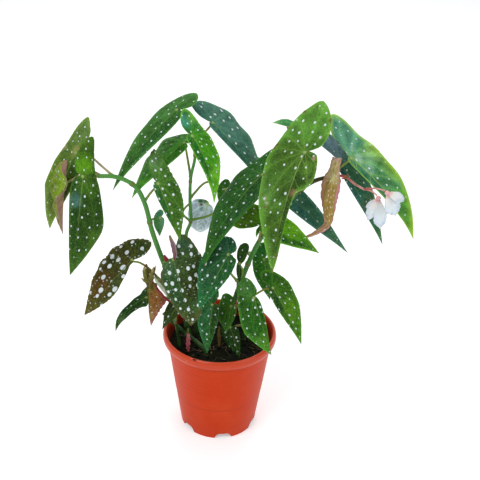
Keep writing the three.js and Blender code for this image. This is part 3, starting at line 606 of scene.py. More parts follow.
LEAVES = {
    "leaf_far_left": Leaf((-185, -25, 435), (-220, -45, 335), -1, (-0.3, -0.8, 0.4), arch=30,
        slim=0.8, broad=[(1, 0), (0.85, 0.1), (0.57, 0.22), (0.45, 0.24), (0.24, 0.235),
        (0.07, 0.195), (-0.09, 0.165), (-0.27, 0.135), (-0.39, 0.095), (-0.43, 0.05),
        (-0.36, -0.015), (-0.27, -0.075), (-0.12, -0.085), (-0.03, -0.035)]),
    "leaf_far_left_ruffled": Leaf((-194, -60, 410), (-200, -65, 340), -1, (-0.3, -0.8, 0.5),
        arch=15, wide=1.4, slim=0.8, curl=-125, cup=25, wave=0.03, waves=4),
    "leaf_left": Leaf((-170, -70, 425), (-185, -115, 310), 1, (0.35, -0.85, 0.35), arch=30,
        narrow=[(-0.01, -0.02), (0.02, -0.075), (0.1, -0.105), (0.23, -0.11), (0.5, -0.085),
        (0.78, -0.045), (1, 0)], broad=[(1, 0), (0.88, 0.075), (0.75, 0.155), (0.54, 0.265),
        (0.34, 0.255), (0.12, 0.195), (-0.01, 0.145), (-0.11, 0.12), (-0.25, 0.105), (-0.4, 0.09),
        (-0.37, 0.01), (-0.26, -0.055), (-0.14, -0.085), (-0.05, -0.065), (-0.01, -0.02)]),
    "leaf_top_long": Leaf((-60, 3, 485), (-136, -54, 398), -1, (-0.5, -0.6, 0.7), arch=30, wide=0.7,
        slim=0.62, back=0.62),
    "leaf_top_under": Leaf((-50, -5, 444), (-113, -48, 385), -1, (-0.6, -0.7, 0.5), arch=30,
        wide=1.55, slim=0.55, back=0.4, fold=18),
    "leaf_centre_wavy": Leaf((-80, -48, 407), (-51, -73, 339), 1, wide=1.1, slim=0.6, back=1.28,
        veer=15, curve=0.02, wave=0.03, waves=3.5),
    "leaf_top_bright": Leaf((-38, -40, 470), (-9, -75, 396), 1, (0.5, -0.8, 0.4), wide=1.05,
        slim=0.62, veer=18, curve=0.06),
    "leaf_top_right": Leaf((-15, 23, 460), (57, 8, 372), 1, (0.5, -0.7, 0.6), arch=35, wide=1.35,
        slim=0.35, back=0.75, lobe=-20, fold=18),
    "leaf_spotted_front": Leaf((-60, -70, 310), (-35, -95, 225), 1, arch=20, narrow=[(-0.03, 0.01),
        (-0.01, -0.06), (0.05, -0.15), (0.2, -0.225), (0.37, -0.23), (0.54, -0.195), (0.7, -0.155),
        (0.84, -0.09), (1, 0)], broad=[(1, 0), (0.9, 0.15), (0.8, 0.21), (0.6, 0.3), (0.38, 0.38),
        (0.13, 0.42), (-0.04, 0.37), (-0.2, 0.31), (-0.28, 0.25), (-0.31, 0.18), (-0.23, 0.12),
        (-0.1, 0.045), (-0.03, 0.01)]),
    "leaf_spotted_low": Leaf((-55, -45, 225), (-75, -70, 200), -1, wide=1.1, slim=1.1),
    "leaf_long_dark": Leaf((50, -30, 415), (-20, -85, 310), -1, (-0.65, -0.6, 0.5), arch=45,
        slim=0.8, lobe=-30),
    "leaf_largest": Leaf((100, -55, 460), (65, -135, 335), -1, (-0.3, -0.85, 0.5), arch=20,
        curve=0.035, narrow=[(-0.02, -0.03), (0, -0.1), (0.1, -0.14), (0.21, -0.15), (0.29, -0.11),
        (0.35, -0.055), (0.53, -0.04), (0.7, -0.038), (0.88, -0.025), (1, 0)], broad=[(1, 0),
        (0.92, 0.04), (0.76, 0.115), (0.49, 0.228), (0.27, 0.28), (0.07, 0.295), (-0.11, 0.255),
        (-0.28, 0.185), (-0.38, 0.12), (-0.455, 0.03), (-0.37, -0.07), (-0.23, -0.125),
        (-0.09, -0.105), (-0.02, -0.03)]),
    "leaf_right_tall": Leaf((162, -10, 432), (249, -32, 329), 1, (0.4, -0.8, 0.5), arch=40,
        curve=0.03, lobe=-25, fold=3, narrow=[(-0.03, 0), (-0.01, -0.03), (0.06, -0.05),
        (0.2, -0.06), (0.4, -0.055), (0.6, -0.04), (0.82, -0.016), (1, 0)], broad=[(1, 0),
        (0.84, 0.085), (0.62, 0.18), (0.42, 0.225), (0.3, 0.238), (0.16, 0.25), (0.03, 0.255),
        (-0.1, 0.25), (-0.235, 0.262), (-0.36, 0.245), (-0.415, 0.2), (-0.36, 0.13),
        (-0.285, 0.055), (-0.165, 0.028), (-0.065, 0.008), (-0.03, 0)]),
    "leaf_right_folded": Leaf((150, 15, 415), (215, 0, 300), 1, (0.3, -0.8, 0.4), wide=0.7,
        slim=0.3, veer=-15),
    "leaf_right_blue": Leaf((70, 25, 375), (170, 0, 285), 1, (0.1, -0.8, 0.6), arch=20, wide=0.5,
        slim=0.55),
    "leaf_right_bright": Leaf((55, -32, 346), (128, -42, 309), 1, (0.1, -0.8, 0.6), arch=15, wide=1,
        nip=2, back=1.6),
    "leaf_right_shaded": Leaf((58, 5, 268), (68, -20, 219), -1, wide=1.15),
    "leaf_low_right": Leaf((70, -45, 255), (110, -80, 190), 1, (0.3, -0.8, 0.5), wide=1.15,
        slim=0.6, back=0.75),
    "leaf_over_rim": Leaf((45, -70, 255), (70, -105, 190), -1, narrow=[(-0.02, -0.03),
        (0.02, -0.06), (0.13, -0.085), (0.3, -0.085), (0.48, -0.07), (0.76, -0.03), (1, 0)],
        broad=[(1, 0), (0.85, 0.125), (0.655, 0.265), (0.51, 0.335), (0.26, 0.335), (-0.02, 0.285),
        (-0.23, 0.22), (-0.37, 0.09), (-0.32, -0.02), (-0.14, -0.085), (-0.07, -0.065),
        (-0.02, -0.03)]),
    "leaf_middle_teal": Leaf((10, -70, 320), (-25, -110, 260), -1, wide=1.35, slim=1.05, nip=0.8,
        back=0.65, veer=20),
    "leaf_middle_small": Leaf((25, -35, 285), (25, -50, 265), 1, narrow=[(-0.1, -0.08),
        (0.02, -0.14), (0.25, -0.17), (0.55, -0.14), (0.8, -0.07), (1, 0)], broad=[(1, 0),
        (0.75, 0.1), (0.3, 0.12), (0.05, 0.08), (-0.2, 0.26), (-0.6, 0.42), (-1, 0.5), (-1.2, 0.36),
        (-1.1, 0.05), (-0.75, -0.13), (-0.35, -0.16), (-0.1, -0.08)]),
    "leaf_low_middle": Leaf((-10, -45, 225), (-15, -60, 155), -1, slim=0.8, back=0.8),
    "leaf_low_round": Leaf((15, -25, 210), (10, -45, 180), -1, wide=1.9, slim=1.35, back=1.15,
        veer=30),
    "leaf_in_pot": Leaf((15, -22, 173), (30, -43, 136), -1, wide=1.15, slim=1.2),
    "leaf_spotted_left": Leaf((-115, -50, 295), (-175, -85, 230), -1, (-0.2, -0.85, 0.5), wide=1.25,
        nip=0.6, back=0.85, wave=0.03, waves=4, narrow=[(-0.02, -0.035), (0.03, -0.035),
        (0.08, -0.035), (0.18, -0.07), (0.3, -0.1), (0.52, -0.14), (0.73, -0.105), (0.91, -0.045),
        (1, 0)]),
    "leaf_low_left": Leaf((-100, -25, 220), (-140, -50, 180), -1, (-0.3, -0.7, 0.6), curve=0.1,
        narrow=[(-0.03, -0.035), (0.03, -0.12), (0.13, -0.185), (0.23, -0.145), (0.42, -0.115),
        (0.61, -0.09), (0.8, -0.035), (1, 0)], broad=[(1, 0), (0.83, 0.09), (0.62, 0.11),
        (0.38, 0.1), (0.2, 0.13), (0.05, 0.145), (-0.07, 0.22), (-0.24, 0.265), (-0.36, 0.25),
        (-0.38, 0.15), (-0.22, 0.02), (-0.03, -0.035)]),
    "leaf_shrivelled": Leaf((-93, -47, 265), (-90, -70, 205), 1, wave=0.03, waves=4,
        narrow=[(-0.02, -0.05), (0.04, -0.055), (0.18, -0.06), (0.37, -0.035), (0.7, -0.03),
        (1, 0)], broad=[(1, 0), (0.88, 0.065), (0.72, 0.165), (0.585, 0.26), (0.47, 0.335),
        (0.33, 0.22), (0.21, 0.18), (0.07, 0.09), (-0.02, 0.09), (-0.26, 0.135), (-0.17, 0.04),
        (-0.3, -0.07), (-0.13, -0.135), (-0.02, -0.05)]),
    "leaf_backlit": Leaf((-20, 15, 345), (-29, 0, 310), -1, narrow=[(-0.03, -0.05), (0.05, -0.2),
        (0.35, -0.3), (0.68, -0.28), (0.9, -0.16), (1, 0)], broad=[(1, 0), (0.97, 0.2),
        (0.88, 0.38), (0.55, 0.6), (0.25, 0.62), (0, 0.56), (-0.11, 0.4), (-0.14, 0.15), (-0.1, 0),
        (-0.03, -0.05)]),
    "leaf_behind_small": Leaf((3, 20, 366), (3, 10, 336), -1, wide=1.3, slim=1.5),
    "leaf_tiny": Leaf((-80, -25, 345), (-80, -30, 320), -1, wide=1.3, slim=1.3),
    "leaf_back_top": Leaf((85, 5, 470), (60, -5, 475), -1, (-0.2, -0.6, 0.8)),
}


@dataclass
class Look:
    """The finish of one leaf."""

    slot: str
    # the tones carry painted light and shade: on many leaves the broad and narrow sides are lighter
    # or darker by how each faces the lamps, and leaves that lie in shade have paler tones to make
    # up for it
    tones: str  # colours of its broad side, narrow side, lobe, tip and edge
    dot: float  # radius of the dots in mm
    gap: float  # their spacing in mm
    veins: float = 0.2  # how clearly the veins show
    scorch: float = 0.08  # how much of the edge is scorched brown
    dull: float = 0.36  # roughness
    glow: float = 0  # light that shines through, where it is more than a trace
    back: str = None  # colour of the back, where it isn't wine red
    teeth: tuple = (0.45, 9)  # depth and spacing in mm of the scallops along the edge
    # soft spots of scars, crust and tone, and of painted sheen, highlight and shade: place from the
    # leaf stalk and radius in leaf lengths, with the broad side positive, then colour and strength
    spots_and_painted_light: list = ()


LOOKS = {
    "leaf_far_left": Look("leaf_green", "#5f7c34 #4f7a2e #6f9148 #667c2a #7f9e44", 0.8, 9.6,
        spots_and_painted_light=[(0, 0.21, 0.08, "#c4b48c", 0.85), (0.32, 0.12, 0.17, "#7d9a22", 0.7),
        (-0.02, -0.03, 0.09, "#a9a060", 0.6), (0.7, 0.1, 0.14, "#4c5c1c", 0.6)]),
    "leaf_far_left_ruffled": Look("leaf_bright", "#7f9a22 #8a7a5c #86a82a #8a7a5c #93785a", 0.8,
        8.4, veins=0.4, scorch=0.8, back="#a07c6c", teeth=(1.3, 7),
        spots_and_painted_light=[(0.15, 0.1, 0.2, "#93b428", 0.7)]),
    # painted sheen: the blue-grey spot on the narrow side
    "leaf_left": Look("leaf_green", "#2d4e1a #20481e #3f661e #31521a #527c2c", 1, 10.6, veins=0.25,
        spots_and_painted_light=[(-0.12, 0, 0.12, "#68a820", 0.75), (0.24, -0.05, 0.09, "#5c8a86", 0.65),
        (0.1, 0.06, 0.12, "#4c7a26", 0.6), (0.5, 0.06, 0.22, "#26420f", 0.5),
        (0.62, 0.2, 0.1, "#4f7a24", 0.6), (-0.33, 0.04, 0.1, "#55782a", 0.6)]),
    "leaf_top_long": Look("leaf_green", "#3b7032 #2b5f2e #4a8540 #2a5c22 #5c9a48", 0.9, 10.6,
        veins=0.1, spots_and_painted_light=[(0.1, 0.11, 0.16, "#4c8a44", 0.6), (0.5, 0.12, 0.1, "#53903e", 0.5)]),
    # painted light: brighter tones, as the leaf lies in the shade of the leaves above
    "leaf_top_under": Look("leaf_green", "#46a030 #2c7022 #4aa236 #48902c #72bc50", 0.85, 10.6,
        spots_and_painted_light=[(0.42, 0.14, 0.16, "#7ccc64", 0.85), (0.1, 0.24, 0.14, "#4f9a38", 0.5)]),
    # painted highlight: the pale grey-green spot on the lobe
    "leaf_centre_wavy": Look("leaf_green", "#437028 #286430 #568c3e #46781f #62903a", 1.25, 9,
        veins=0.3, scorch=0.4, teeth=(1.3, 7), spots_and_painted_light=[(-0.34, 0.08, 0.12, "#7faa74", 0.6),
        (0.1, 0.16, 0.14, "#3f7432", 0.5)]),
    # painted sheen: the teal spot on the lobe
    "leaf_top_bright": Look("leaf_bright", "#469a0c #0f6a26 #2f7c44 #62b428 #7cc22c", 1, 8.8,
        veins=0.3, glow=0.06, teeth=(1.1, 5.5), spots_and_painted_light=[(-0.24, -0.02, 0.13, "#4aa890", 0.75),
        (0.62, 0.13, 0.14, "#80d43a", 0.8), (0.05, 0.1, 0.12, "#2f7c14", 0.5),
        (-0.25, 0.16, 0.1, "#7cc84c", 0.6)]),
    "leaf_top_right": Look("leaf_blue", "#447c6c #3a746a #4a8274 #2c6a3a #5f9a70", 1.45, 12.6,
        dull=0.3, spots_and_painted_light=[(0.2, 0.14, 0.2, "#568c80", 0.5), (0.75, 0.03, 0.16, "#2c5c24", 0.6)]),
    "leaf_spotted_front": Look("leaf_bronze", "#37472a #2c4e30 #3f6246 #3d4626 #5a5f36", 1.9, 10.6,
        veins=0.1, scorch=0.4, teeth=(0.9, 8), spots_and_painted_light=[(0.1, -0.12, 0.16, "#4c6c4e", 0.7),
        (0.45, 0.2, 0.2, "#33301a", 0.7), (0.72, 0.12, 0.12, "#3f6a3e", 0.5),
        (-0.18, 0.2, 0.12, "#3f5f4a", 0.6)]),
    "leaf_spotted_low": Look("leaf_bronze", "#2b3a20 #2b3a20 #324226 #2b3a1e #3f4a28", 1, 9),
    "leaf_long_dark": Look("leaf_dark", "#27602a #20502a #2c6a2c #24541c #3f7a30", 1, 10.6),
    "leaf_largest": Look("leaf_green", "#568632 #2c4812 #6cae44 #3a5a14 #7cb84a", 1.2, 12.4,
        veins=0.7, scorch=0.55, spots_and_painted_light=[(0.12, -0.07, 0.1, "#5f8a34", 0.8),
        (0.05, 0.12, 0.16, "#42621f", 0.7), (0.4, 0.2, 0.14, "#6a9c4a", 0.7),
        (0.62, 0.06, 0.13, "#44661c", 0.6), (0.33, 0.03, 0.13, "#3c5a1e", 0.7),
        (-0.3, 0.02, 0.16, "#6fae44", 0.6), (0.44, 0.19, 0.02, "#ccb8a4", 0.9),
        (0.47, 0.16, 0.016, "#ccb8a4", 0.8), (0.34, -0.03, 0.035, "#a88462", 0.9),
        (0.03, -0.09, 0.022, "#b8967a", 0.8)]),
    # painted light: the pale blue-green lobe and the pale spots round the leaf stalk are sheen; the
    # bright yellow-green panels face the light and the dark teal ones face away
    "leaf_right_tall": Look("leaf_bright", "#62aa68 #3f8a68 #84d8ac #5aaa1c #b0dc44", 0.95, 13,
        veins=1.2, scorch=0.25, dull=0.33, glow=0.05, spots_and_painted_light=[(0.1, 0.2, 0.12, "#b0e46c", 0.8),
        (0.34, 0.22, 0.12, "#b4ec4c", 0.9), (0.12, 0.08, 0.1, "#8cc89a", 0.7),
        (0.33, 0.09, 0.14, "#4f9464", 0.7), (-0.12, 0.12, 0.14, "#6cb89c", 0.7),
        (-0.3, 0.2, 0.1, "#4a9478", 0.6), (0.62, 0.1, 0.14, "#56a82c", 0.6),
        (0.05, 0.05, 0.05, "#b4dcc8", 0.7), (-0.06, 0.08, 0.04, "#a8d4cc", 0.6),
        (0.2, 0.03, 0.05, "#9cd0b8", 0.6), (0.22, 0.15, 0.03, "#3c7c3c", 0.6),
        (0, 0.16, 0.03, "#3c8a6c", 0.6)]),
    # painted light: tones raised as the leaf lies in the shade of the tall leaf beside it, with a
    # pale blue spot of sheen by the lobe
    "leaf_right_folded": Look("leaf_blue", "#3a8468 #357a78 #4f9a98 #2f6c3a #5c8a5c", 0.9, 11,
        spots_and_painted_light=[(-0.12, 0.02, 0.16, "#9cc8dc", 0.85), (0.25, 0.1, 0.14, "#3c6c50", 0.6),
        (0.55, 0.08, 0.14, "#5c5a34", 0.6)]),
    "leaf_right_blue": Look("leaf_blue", "#3f8068 #367a70 #43866e #40704e #5a907a", 1, 10.6,
        dull=0.3),
    "leaf_right_bright": Look("leaf_bright", "#5fb005 #18601c #52841c #357822 #7cc02a", 0.9, 8,
        spots_and_painted_light=[(0.45, 0.14, 0.2, "#76c40c", 0.7), (-0.2, 0.15, 0.2, "#3f6c1c", 0.6)]),
    # painted light: tones raised well above the leaf's own green, as it lies at the back in shade
    "leaf_right_shaded": Look("leaf_dark", "#34802a #438232 #297a36 #34821f #3f8a30", 0.9, 8.8),
    "leaf_low_right": Look("leaf_bright", "#3a6e12 #12481f #225c1a #468018 #5a9a1c", 1.05, 9.6,
        spots_and_painted_light=[(0.45, 0.12, 0.2, "#5c9414", 0.7), (-0.2, 0.1, 0.2, "#2c6a1c", 0.5)]),
    "leaf_over_rim": Look("leaf_bright", "#276020 #225a14 #468236 #3a7620 #559a34", 1.1, 9.6,
        scorch=0.3, spots_and_painted_light=[(-0.2, 0.1, 0.16, "#56904a", 0.6),
        (0.75, 0.05, 0.14, "#5a902a", 0.5)]),
    "leaf_middle_teal": Look("leaf_blue", "#18583a #1c5832 #286c48 #206a3c #32784a", 1.25, 9.6,
        teeth=(0.8, 8), spots_and_painted_light=[(-0.12, 0.12, 0.14, "#3f8068", 0.5),
        (0.4, 0.12, 0.16, "#1c4c34", 0.6)]),
    "leaf_middle_small": Look("leaf_dark", "#204a1c #1c4618 #2a5424 #22521a #345c2c", 0.8, 8.8),
    "leaf_low_middle": Look("leaf_dark", "#226a3a #0f441a #287040 #22682e #38784a", 1.05, 9.6,
        spots_and_painted_light=[(0.2, 0.1, 0.16, "#3a7c54", 0.5)]),
    "leaf_low_round": Look("leaf_green", "#2f641a #316c1a #3a7a24 #2c6424 #4a8a34", 1, 9),
    "leaf_in_pot": Look("leaf_dark", "#10481f #0f3c14 #103e14 #184c12 #205420", 1, 7.6),
    "leaf_spotted_left": Look("leaf_bronze", "#48381e #46482a #343e20 #5e4c26 #64602e", 2.6, 11,
        veins=0.1, scorch=0.35, teeth=(1.7, 6.5), spots_and_painted_light=[(0.58, 0.1, 0.18, "#66341c", 0.7),
        (0.4, 0.2, 0.12, "#5e341e", 0.6), (0.2, 0.18, 0.14, "#3c4420", 0.5)]),
    "leaf_low_left": Look("leaf_dark", "#1d4e24 #194824 #2c4a20 #2f5630 #4a6a3a", 0.8, 9,
        spots_and_painted_light=[(-0.25, 0.2, 0.12, "#5c5226", 0.7), (0.7, 0, 0.12, "#5f7a4a", 0.6)]),
    "leaf_shrivelled": Look("dry_leaf", "#9a5e38 #6c5a2a #66702a #9a8656 #a8485a", 1, 8, scorch=0.8,
        teeth=(2, 6), spots_and_painted_light=[(0.2, 0.02, 0.09, "#6a6a30", 0.7),
        (0.6, 0.05, 0.14, "#9a5c34", 0.6)]),
    # painted light: its pale blue-white tones and its glow stand for sky reflected off the leaf and
    # light shining through it, painted paler still as other leaves shade it
    "leaf_backlit": Look("leaf_blue", "#d0e8f6 #c8e0f0 #7fb0a8 #dceffa #e4f4fc", 0.8, 12.6,
        veins=0.9, dull=0.25, glow=0.3, spots_and_painted_light=[(-0.12, 0.1, 0.13, "#2c5a30", 0.95),
        (-0.04, 0.26, 0.1, "#2f6230", 0.95), (-0.1, -0.1, 0.12, "#3a6a44", 0.85),
        (0.2, 0.14, 0.09, "#6f9a9a", 0.7), (0.06, 0.2, 0.06, "#7a5440", 0.95)]),
    "leaf_behind_small": Look("leaf_dark", "#357a28 #30702c #2f6e26 #357a2c #4a8a3a", 0.8, 8.8),
    "leaf_tiny": Look("leaf_blue", "#54965c #62a47c #4a9a78 #50965a #74b06c", 0.7, 8.8),
    "leaf_back_top": Look("leaf_blue", "#4cae64 #4cae64 #5cae4c #76c070 #b0c47c", 0.8, 8.8,
        scorch=0.6),
}

# ------------------------------------------------------------------ canes
ROOT_Z = 95


@dataclass
class Cane:
    """A cane from its place in the soil, with its leaf stalks by leaf."""

    root: tuple
    radii: tuple  # at the soil and at its end
    rings: tuple  # where its nodes are, as shares of its length
    path: list
    petioles: dict
    stubs: list = ()


CANES = {
    "cane_left": Cane((-44, 6), (4.2, 2.7), (0.3, 0.5, 0.71, 0.88), [(-50, -2, 180),
         (-63, -18, 235), (-76, -32, 283), (-89, -42, 335), (-97, -48, 378), (-107, -51, 402),
         (-120, -53, 413), (-134, -54, 418), (-154, -54, 418)], {
        "leaf_spotted_front": [(-75, -33, 283), (-66, -48, 296)],
        "leaf_centre_wavy": [(-98, -48, 380), (-89, -43, 392)],
        "leaf_far_left": [(-134, -54, 418), (-152, -38, 425), (-170, -20, 430)],
        "leaf_left": [(-152, -54, 418), (-161, -58, 420)],
        "leaf_far_left_ruffled": [(-148, -54, 418), (-163, -40, 416), (-180, -42, 410)],
        "leaf_tiny": [(-90, -43, 340), (-95, -22, 338)],
    }),
    "cane_middle": Cane((-34, 16), (3.2, 1.8), (0.45, 0.68, 0.85), [(-40, 9, 200), (-47, 2, 270),
         (-47, -4, 310), (-41, -10, 333), (-42, -11, 365), (-41, -12, 398), (-36, -10, 425),
         (-36, -6, 445)], {
        "leaf_long_dark": [(-42, -10, 334), (-14, -16, 347), (20, -14, 378)],
        "leaf_top_under": [(-41, -12, 398), (-46, 0, 420)],
        "leaf_top_bright": [(-36, -10, 428), (-37, -18, 448)],
        "leaf_top_long": [(-36, -7, 443), (-46, 6, 462)],
        "leaf_top_right": [(-36, -7, 443), (-28, 14, 446)],
        "leaf_low_middle": [(-40, 9, 200), (-25, -8, 213)],
        "leaf_backlit": [(-41, -10, 332), (-53, 12, 333), (-42, 30, 338)],
        "leaf_behind_small": [(-42, -11, 368), (-20, 22, 375)],
    }),
    "cane_right": Cane((12, 9), (4, 2.6), (0.32, 0.5, 0.68, 0.86), [(17, 0, 190), (31, -12, 254),
         (48, -10, 301), (72, -2, 342), (96, 2, 372), (117, 5, 389), (135, 5, 396), (149, 4, 399)],
         {
        "leaf_right_shaded": [(41, -11, 280), (36, 8, 276), (44, 18, 269)],
        "leaf_right_bright": [(49, -10, 302), (52, -14, 326)],
        "leaf_right_blue": [(62, -5, 326), (54, 14, 348), (60, 30, 362)],
        "leaf_largest": [(97, 2, 373), (101, 0, 412), (102, -14, 442)],
        "leaf_back_top": [(97, 2, 373), (97, 8, 412), (90, 14, 450)],
        "leaf_right_tall": [(139, 5, 397), (152, -4, 418)],
        "leaf_right_folded": [(135, 5, 396), (142, 20, 406)],
    }, stubs=[[(137, 5, 396), (138, 2, 406), (141, -4, 416), (142, -8.3, 412.8)]]),
    "shoot_right": Cane((34, 8), (2.6, 1.6), (0.45, 0.7), [(33, -2, 166), (29, -14, 200),
         (24, -26, 235), (23, -34, 260)], {
        "leaf_middle_teal": [(22, -33, 257), (13, -46, 278)],
        "leaf_middle_small": [(23, -33, 256), (29, -27, 264), (28, -24, 272)],
        "leaf_low_right": [(26, -20, 216), (43, -32, 232), (62, -35, 247)],
        "leaf_over_rim": [(25, -25, 230), (38, -46, 243)],
        "leaf_low_round": [(30, -12, 192), (22, -11, 202)],
        "leaf_in_pot": [(33, -1, 162), (24, -8, 166)],
    }),
    "shoot_left": Cane((-56, -14), (2.6, 1.6), (0.5, 0.75), [(-60, -18, 170), (-66, -24, 205),
         (-74, -30, 238), (-80, -34, 255)], {
        "leaf_spotted_left": [(-79, -33, 252), (-92, -32, 268), (-106, -36, 282)],
        "leaf_shrivelled": [(-80, -33, 253), (-83, -36, 260)],
        "leaf_low_left": [(-70, -27, 220), (-86, -20, 222)],
        "leaf_spotted_low": [(-61, -19, 180), (-58, -32, 208)],
    }),
    "cane_low": Cane((-19, -26), (3.4, 2.4), (0.62, 0.88), [(-28, -22, 143), (-46, -8, 149),
         (-66, 4, 160), (-80, 9, 172)], {
    }, stubs=[[(-46, -8, 149), (-44, -14, 162), (-43, -20, 165.5), (-43, -23.4, 161.8)]]),
}


def fading(start, end):
    """A radius that goes evenly from start to end along a tube."""
    return lambda s, total: start + (end - start) * s / total


def bump_at(s, width):
    return np.exp(-((s / width) ** 2))


def swollen(start, end, share, width):
    """The same radius, thicker by that share at its end."""
    return lambda s, total: fading(start, end)(s, total) * (1 + share * bump_at(total - s, width))


def cane_piece(name, cane, bark):
    """One cane with its rings, leaf stalks and stubs as one mesh."""
    heap = Heap()

    def cane_radius(s, total):
        r = fading(*cane.radii)(s, total)
        for ring in cane.rings:
            away = (s - ring * total) / 2.6
            r = r * (1 + 0.24 * bump_at(away, 1) - 0.05 * bump_at(away - 1.9, 1))
        return r * (1 + 0.02 * np.sin(s * 0.31))

    def cane_field(s, total):
        return s / total, np.max([bump_at(s - at * total, 1.9) for at in cane.rings], 0), 0

    def petiole_radius(s, total):
        return swollen(1.7, 1.2, 0.35, 3.5)(s, total) * (1 + 0.45 * bump_at(s, 4.5))

    path = [(*cane.root, z) for z in (ROOT_Z, 118, 136)] + cane.path
    heap.add_tube(path, cane_radius, 16, 2.0, cane_field)
    for leaf, way in cane.petioles.items():
        f = leaf_frame(LEAVES[leaf])
        lean = f.normal * math.cos(f.arch / 2) - f.along * math.sin(f.arch / 2)
        heap.add_tube([*way, tuple(f.at - 9 * lean), tuple(f.at - 0.3 * lean)], petiole_radius,
                      12, 2.0, lambda s, d: (s / d, bump_at(s, 3), 0.4 + 0.6 * s / d))
    for way in cane.stubs:
        heap.add_tube(way, fading(1.5, 0.9), 10, 2.0, lambda s, d: (s / d, 0, 0.5))
    heap.piece(name + "_stems", bark, [name], "cane")


# ------------------------------------------------------------------ flowers and dry pieces
# Each flower: its middle, then its petals with their tip, the way they look and their width.
FLOWERS = {
    "flower_left": ((197, -42, 393), [
        ((185, -52, 366), (-0.5, -0.8, 0.3), 0.9), ((201, -57, 357), (0.3, -0.9, 0.2), 0.95),
        ((203, -32, 366), (0.9, 0.3, 0.3), 0.8), ((186, -28, 369), (-0.4, 0.9, 0.2), 0.8),
    ]),
    "flower_right": ((206, -50, 405), [
        ((227, -60, 400), (0.4, -0.6, 0.8), 1.5), ((217, -65, 381), (0.2, -0.9, 0.4), 1.4),
        ((224, -49, 387), (0.7, 0.5, 0.5), 1.2), ((213, -47, 382), (-0.8, 0.3, -0.2), 1.0),
    ]),
}
# The flower stalk and its two forks: the way of each, and its radius at both ends.
STALKS = [
    ([(149.7, 4, 399.1), (157, 2, 399.5), (170, -12, 396), (181, -24, 395)], 1.8, 1.3),
    ([(179, -22, 395.3), (189, -34, 398), (195, -40, 396)], 1.2, 1.0),
    ([(180, -23, 395), (193, -37, 404), (203, -48, 407)], 1.2, 1.0),
]


@dataclass
class Strip:
    """A dry leaf rolled across its width."""

    spine: list  # stations of x, y, z and half width in mm
    roll: float  # how far it closes, in degrees
    tones: tuple  # colours of its top, middle, tail and rolled edge
    face: tuple = (0, -0.9, 0.4)  # the way the outside of the roll looks
    ruffle: float = 0
    dots: bool = False


WITHERED = {
    "withered_right": Strip([(143, -6, 427, 5), (142, -10, 413, 9), (140, -13, 397, 14),
        (138, -16, 377, 13), (139, -19, 354, 9), (137, -20, 338, 5), (122, -23, 328, 3),
        (106, -26, 321, 1.2)], 115, ("#c4b67c", "#ac9044", "#b8946a", "#d08a94"), dots=True),
    "withered_bract": Strip([(-43, -24, 161, 2), (-43, -27, 152, 3.6), (-43, -30, 143, 3.2),
        (-42, -31, 136, 1)], 160, ("#c07a7a", "#c05a66", "#b04a58", "#dc8c96"), face=(0, -0.9, 0.3),
        ruffle=0.22),
    "withered_low": Strip([(-1, -7, 163, 1.2), (-1, -10, 152, 2.6), (0, -12, 141, 2.2),
        (0, -12.4, 127, 1.2)], 140, ("#6f6a2c", "#7a6a2a", "#7a5a2a", "#8f8240"),
        face=(0, -0.9, 0.3)),
}
RED = ("#6a1c24", "#8a2832", "#7a2028", "#9a4450")
OLIVE = ("#a89a70", "#6a7030", "#5a5a28", "#8a6a3c")
# Curled scraps of leaf too small for a solid of their own.
CURLS = {
    "curl_mauve": Strip([(-65, -66, 343, 1.4), (-60.5, -69, 331, 3.6), (-58, -71, 320, 3.4),
        (-58.5, -71, 310, 1)], 70, ("#7a7040", "#7a5a64", "#6a3a48", "#9a868c"),
        face=(-0.3, -0.9, 0.2)),
    "curl_red_top": Strip([(-72, -65, 313, 1), (-69, -66, 307, 3), (-65, -67, 301, 2.4)], 60, RED),
    "curl_red_edge": Strip([(-73, -66, 293, 0.7), (-75, -68, 286, 1.4), (-74, -69, 277, 1.3),
        (-71, -70, 269, 0.6)], 60, RED),
    "curl_pale": Strip([(-86, -57, 275, 0.8), (-82, -58, 268, 2), (-76.5, -60, 261, 2.6),
        (-70, -61.5, 253, 2.6), (-65.5, -62, 246, 1)], 90,
        ("#b4c0a4", "#c4d0b8", "#a4b894", "#7c9a68")),
    "curl_red_low": Strip([(-84, -60, 262, 0.8), (-78, -61.5, 253, 1.8), (-71, -63, 245, 1.8),
        (-64, -63.5, 240, 0.8)], 60, RED),
    "curl_tuft_left": Strip([(-99, -50, 286, 0.8), (-99.5, -52, 278, 2.4), (-97, -54, 268, 3),
        (-94, -56, 258, 1.5)], 120, OLIVE),
    "curl_tuft_right": Strip([(-87, -52, 286, 0.8), (-89, -54, 278, 2.2), (-91, -55, 268, 2.6),
        (-91, -57, 258, 1.5)], 120, OLIVE),
    "curl_tuft_side": Strip([(-103, -52, 268, 0.8), (-98, -55, 266, 2.2), (-92, -56, 267, 1.5)],
        120, OLIVE),
    "curl_flare": Strip([(144, -8, 431, 6.2), (143.5, -9, 425, 6.6), (142, -11, 417, 6),
        (142, -12, 409, 3)], 50, ("#c8a890", "#c4b67c", "#b8b070", "#cc9a8c")),
    "curl_stalk_scale": Strip([(153, -4, 399, 1), (158, -5, 402, 1.3), (161, -5, 406.5, 0.7)], 80,
        ("#b46a4a", "#9a5a34", "#8a4a2c", "#c48a60")),
}


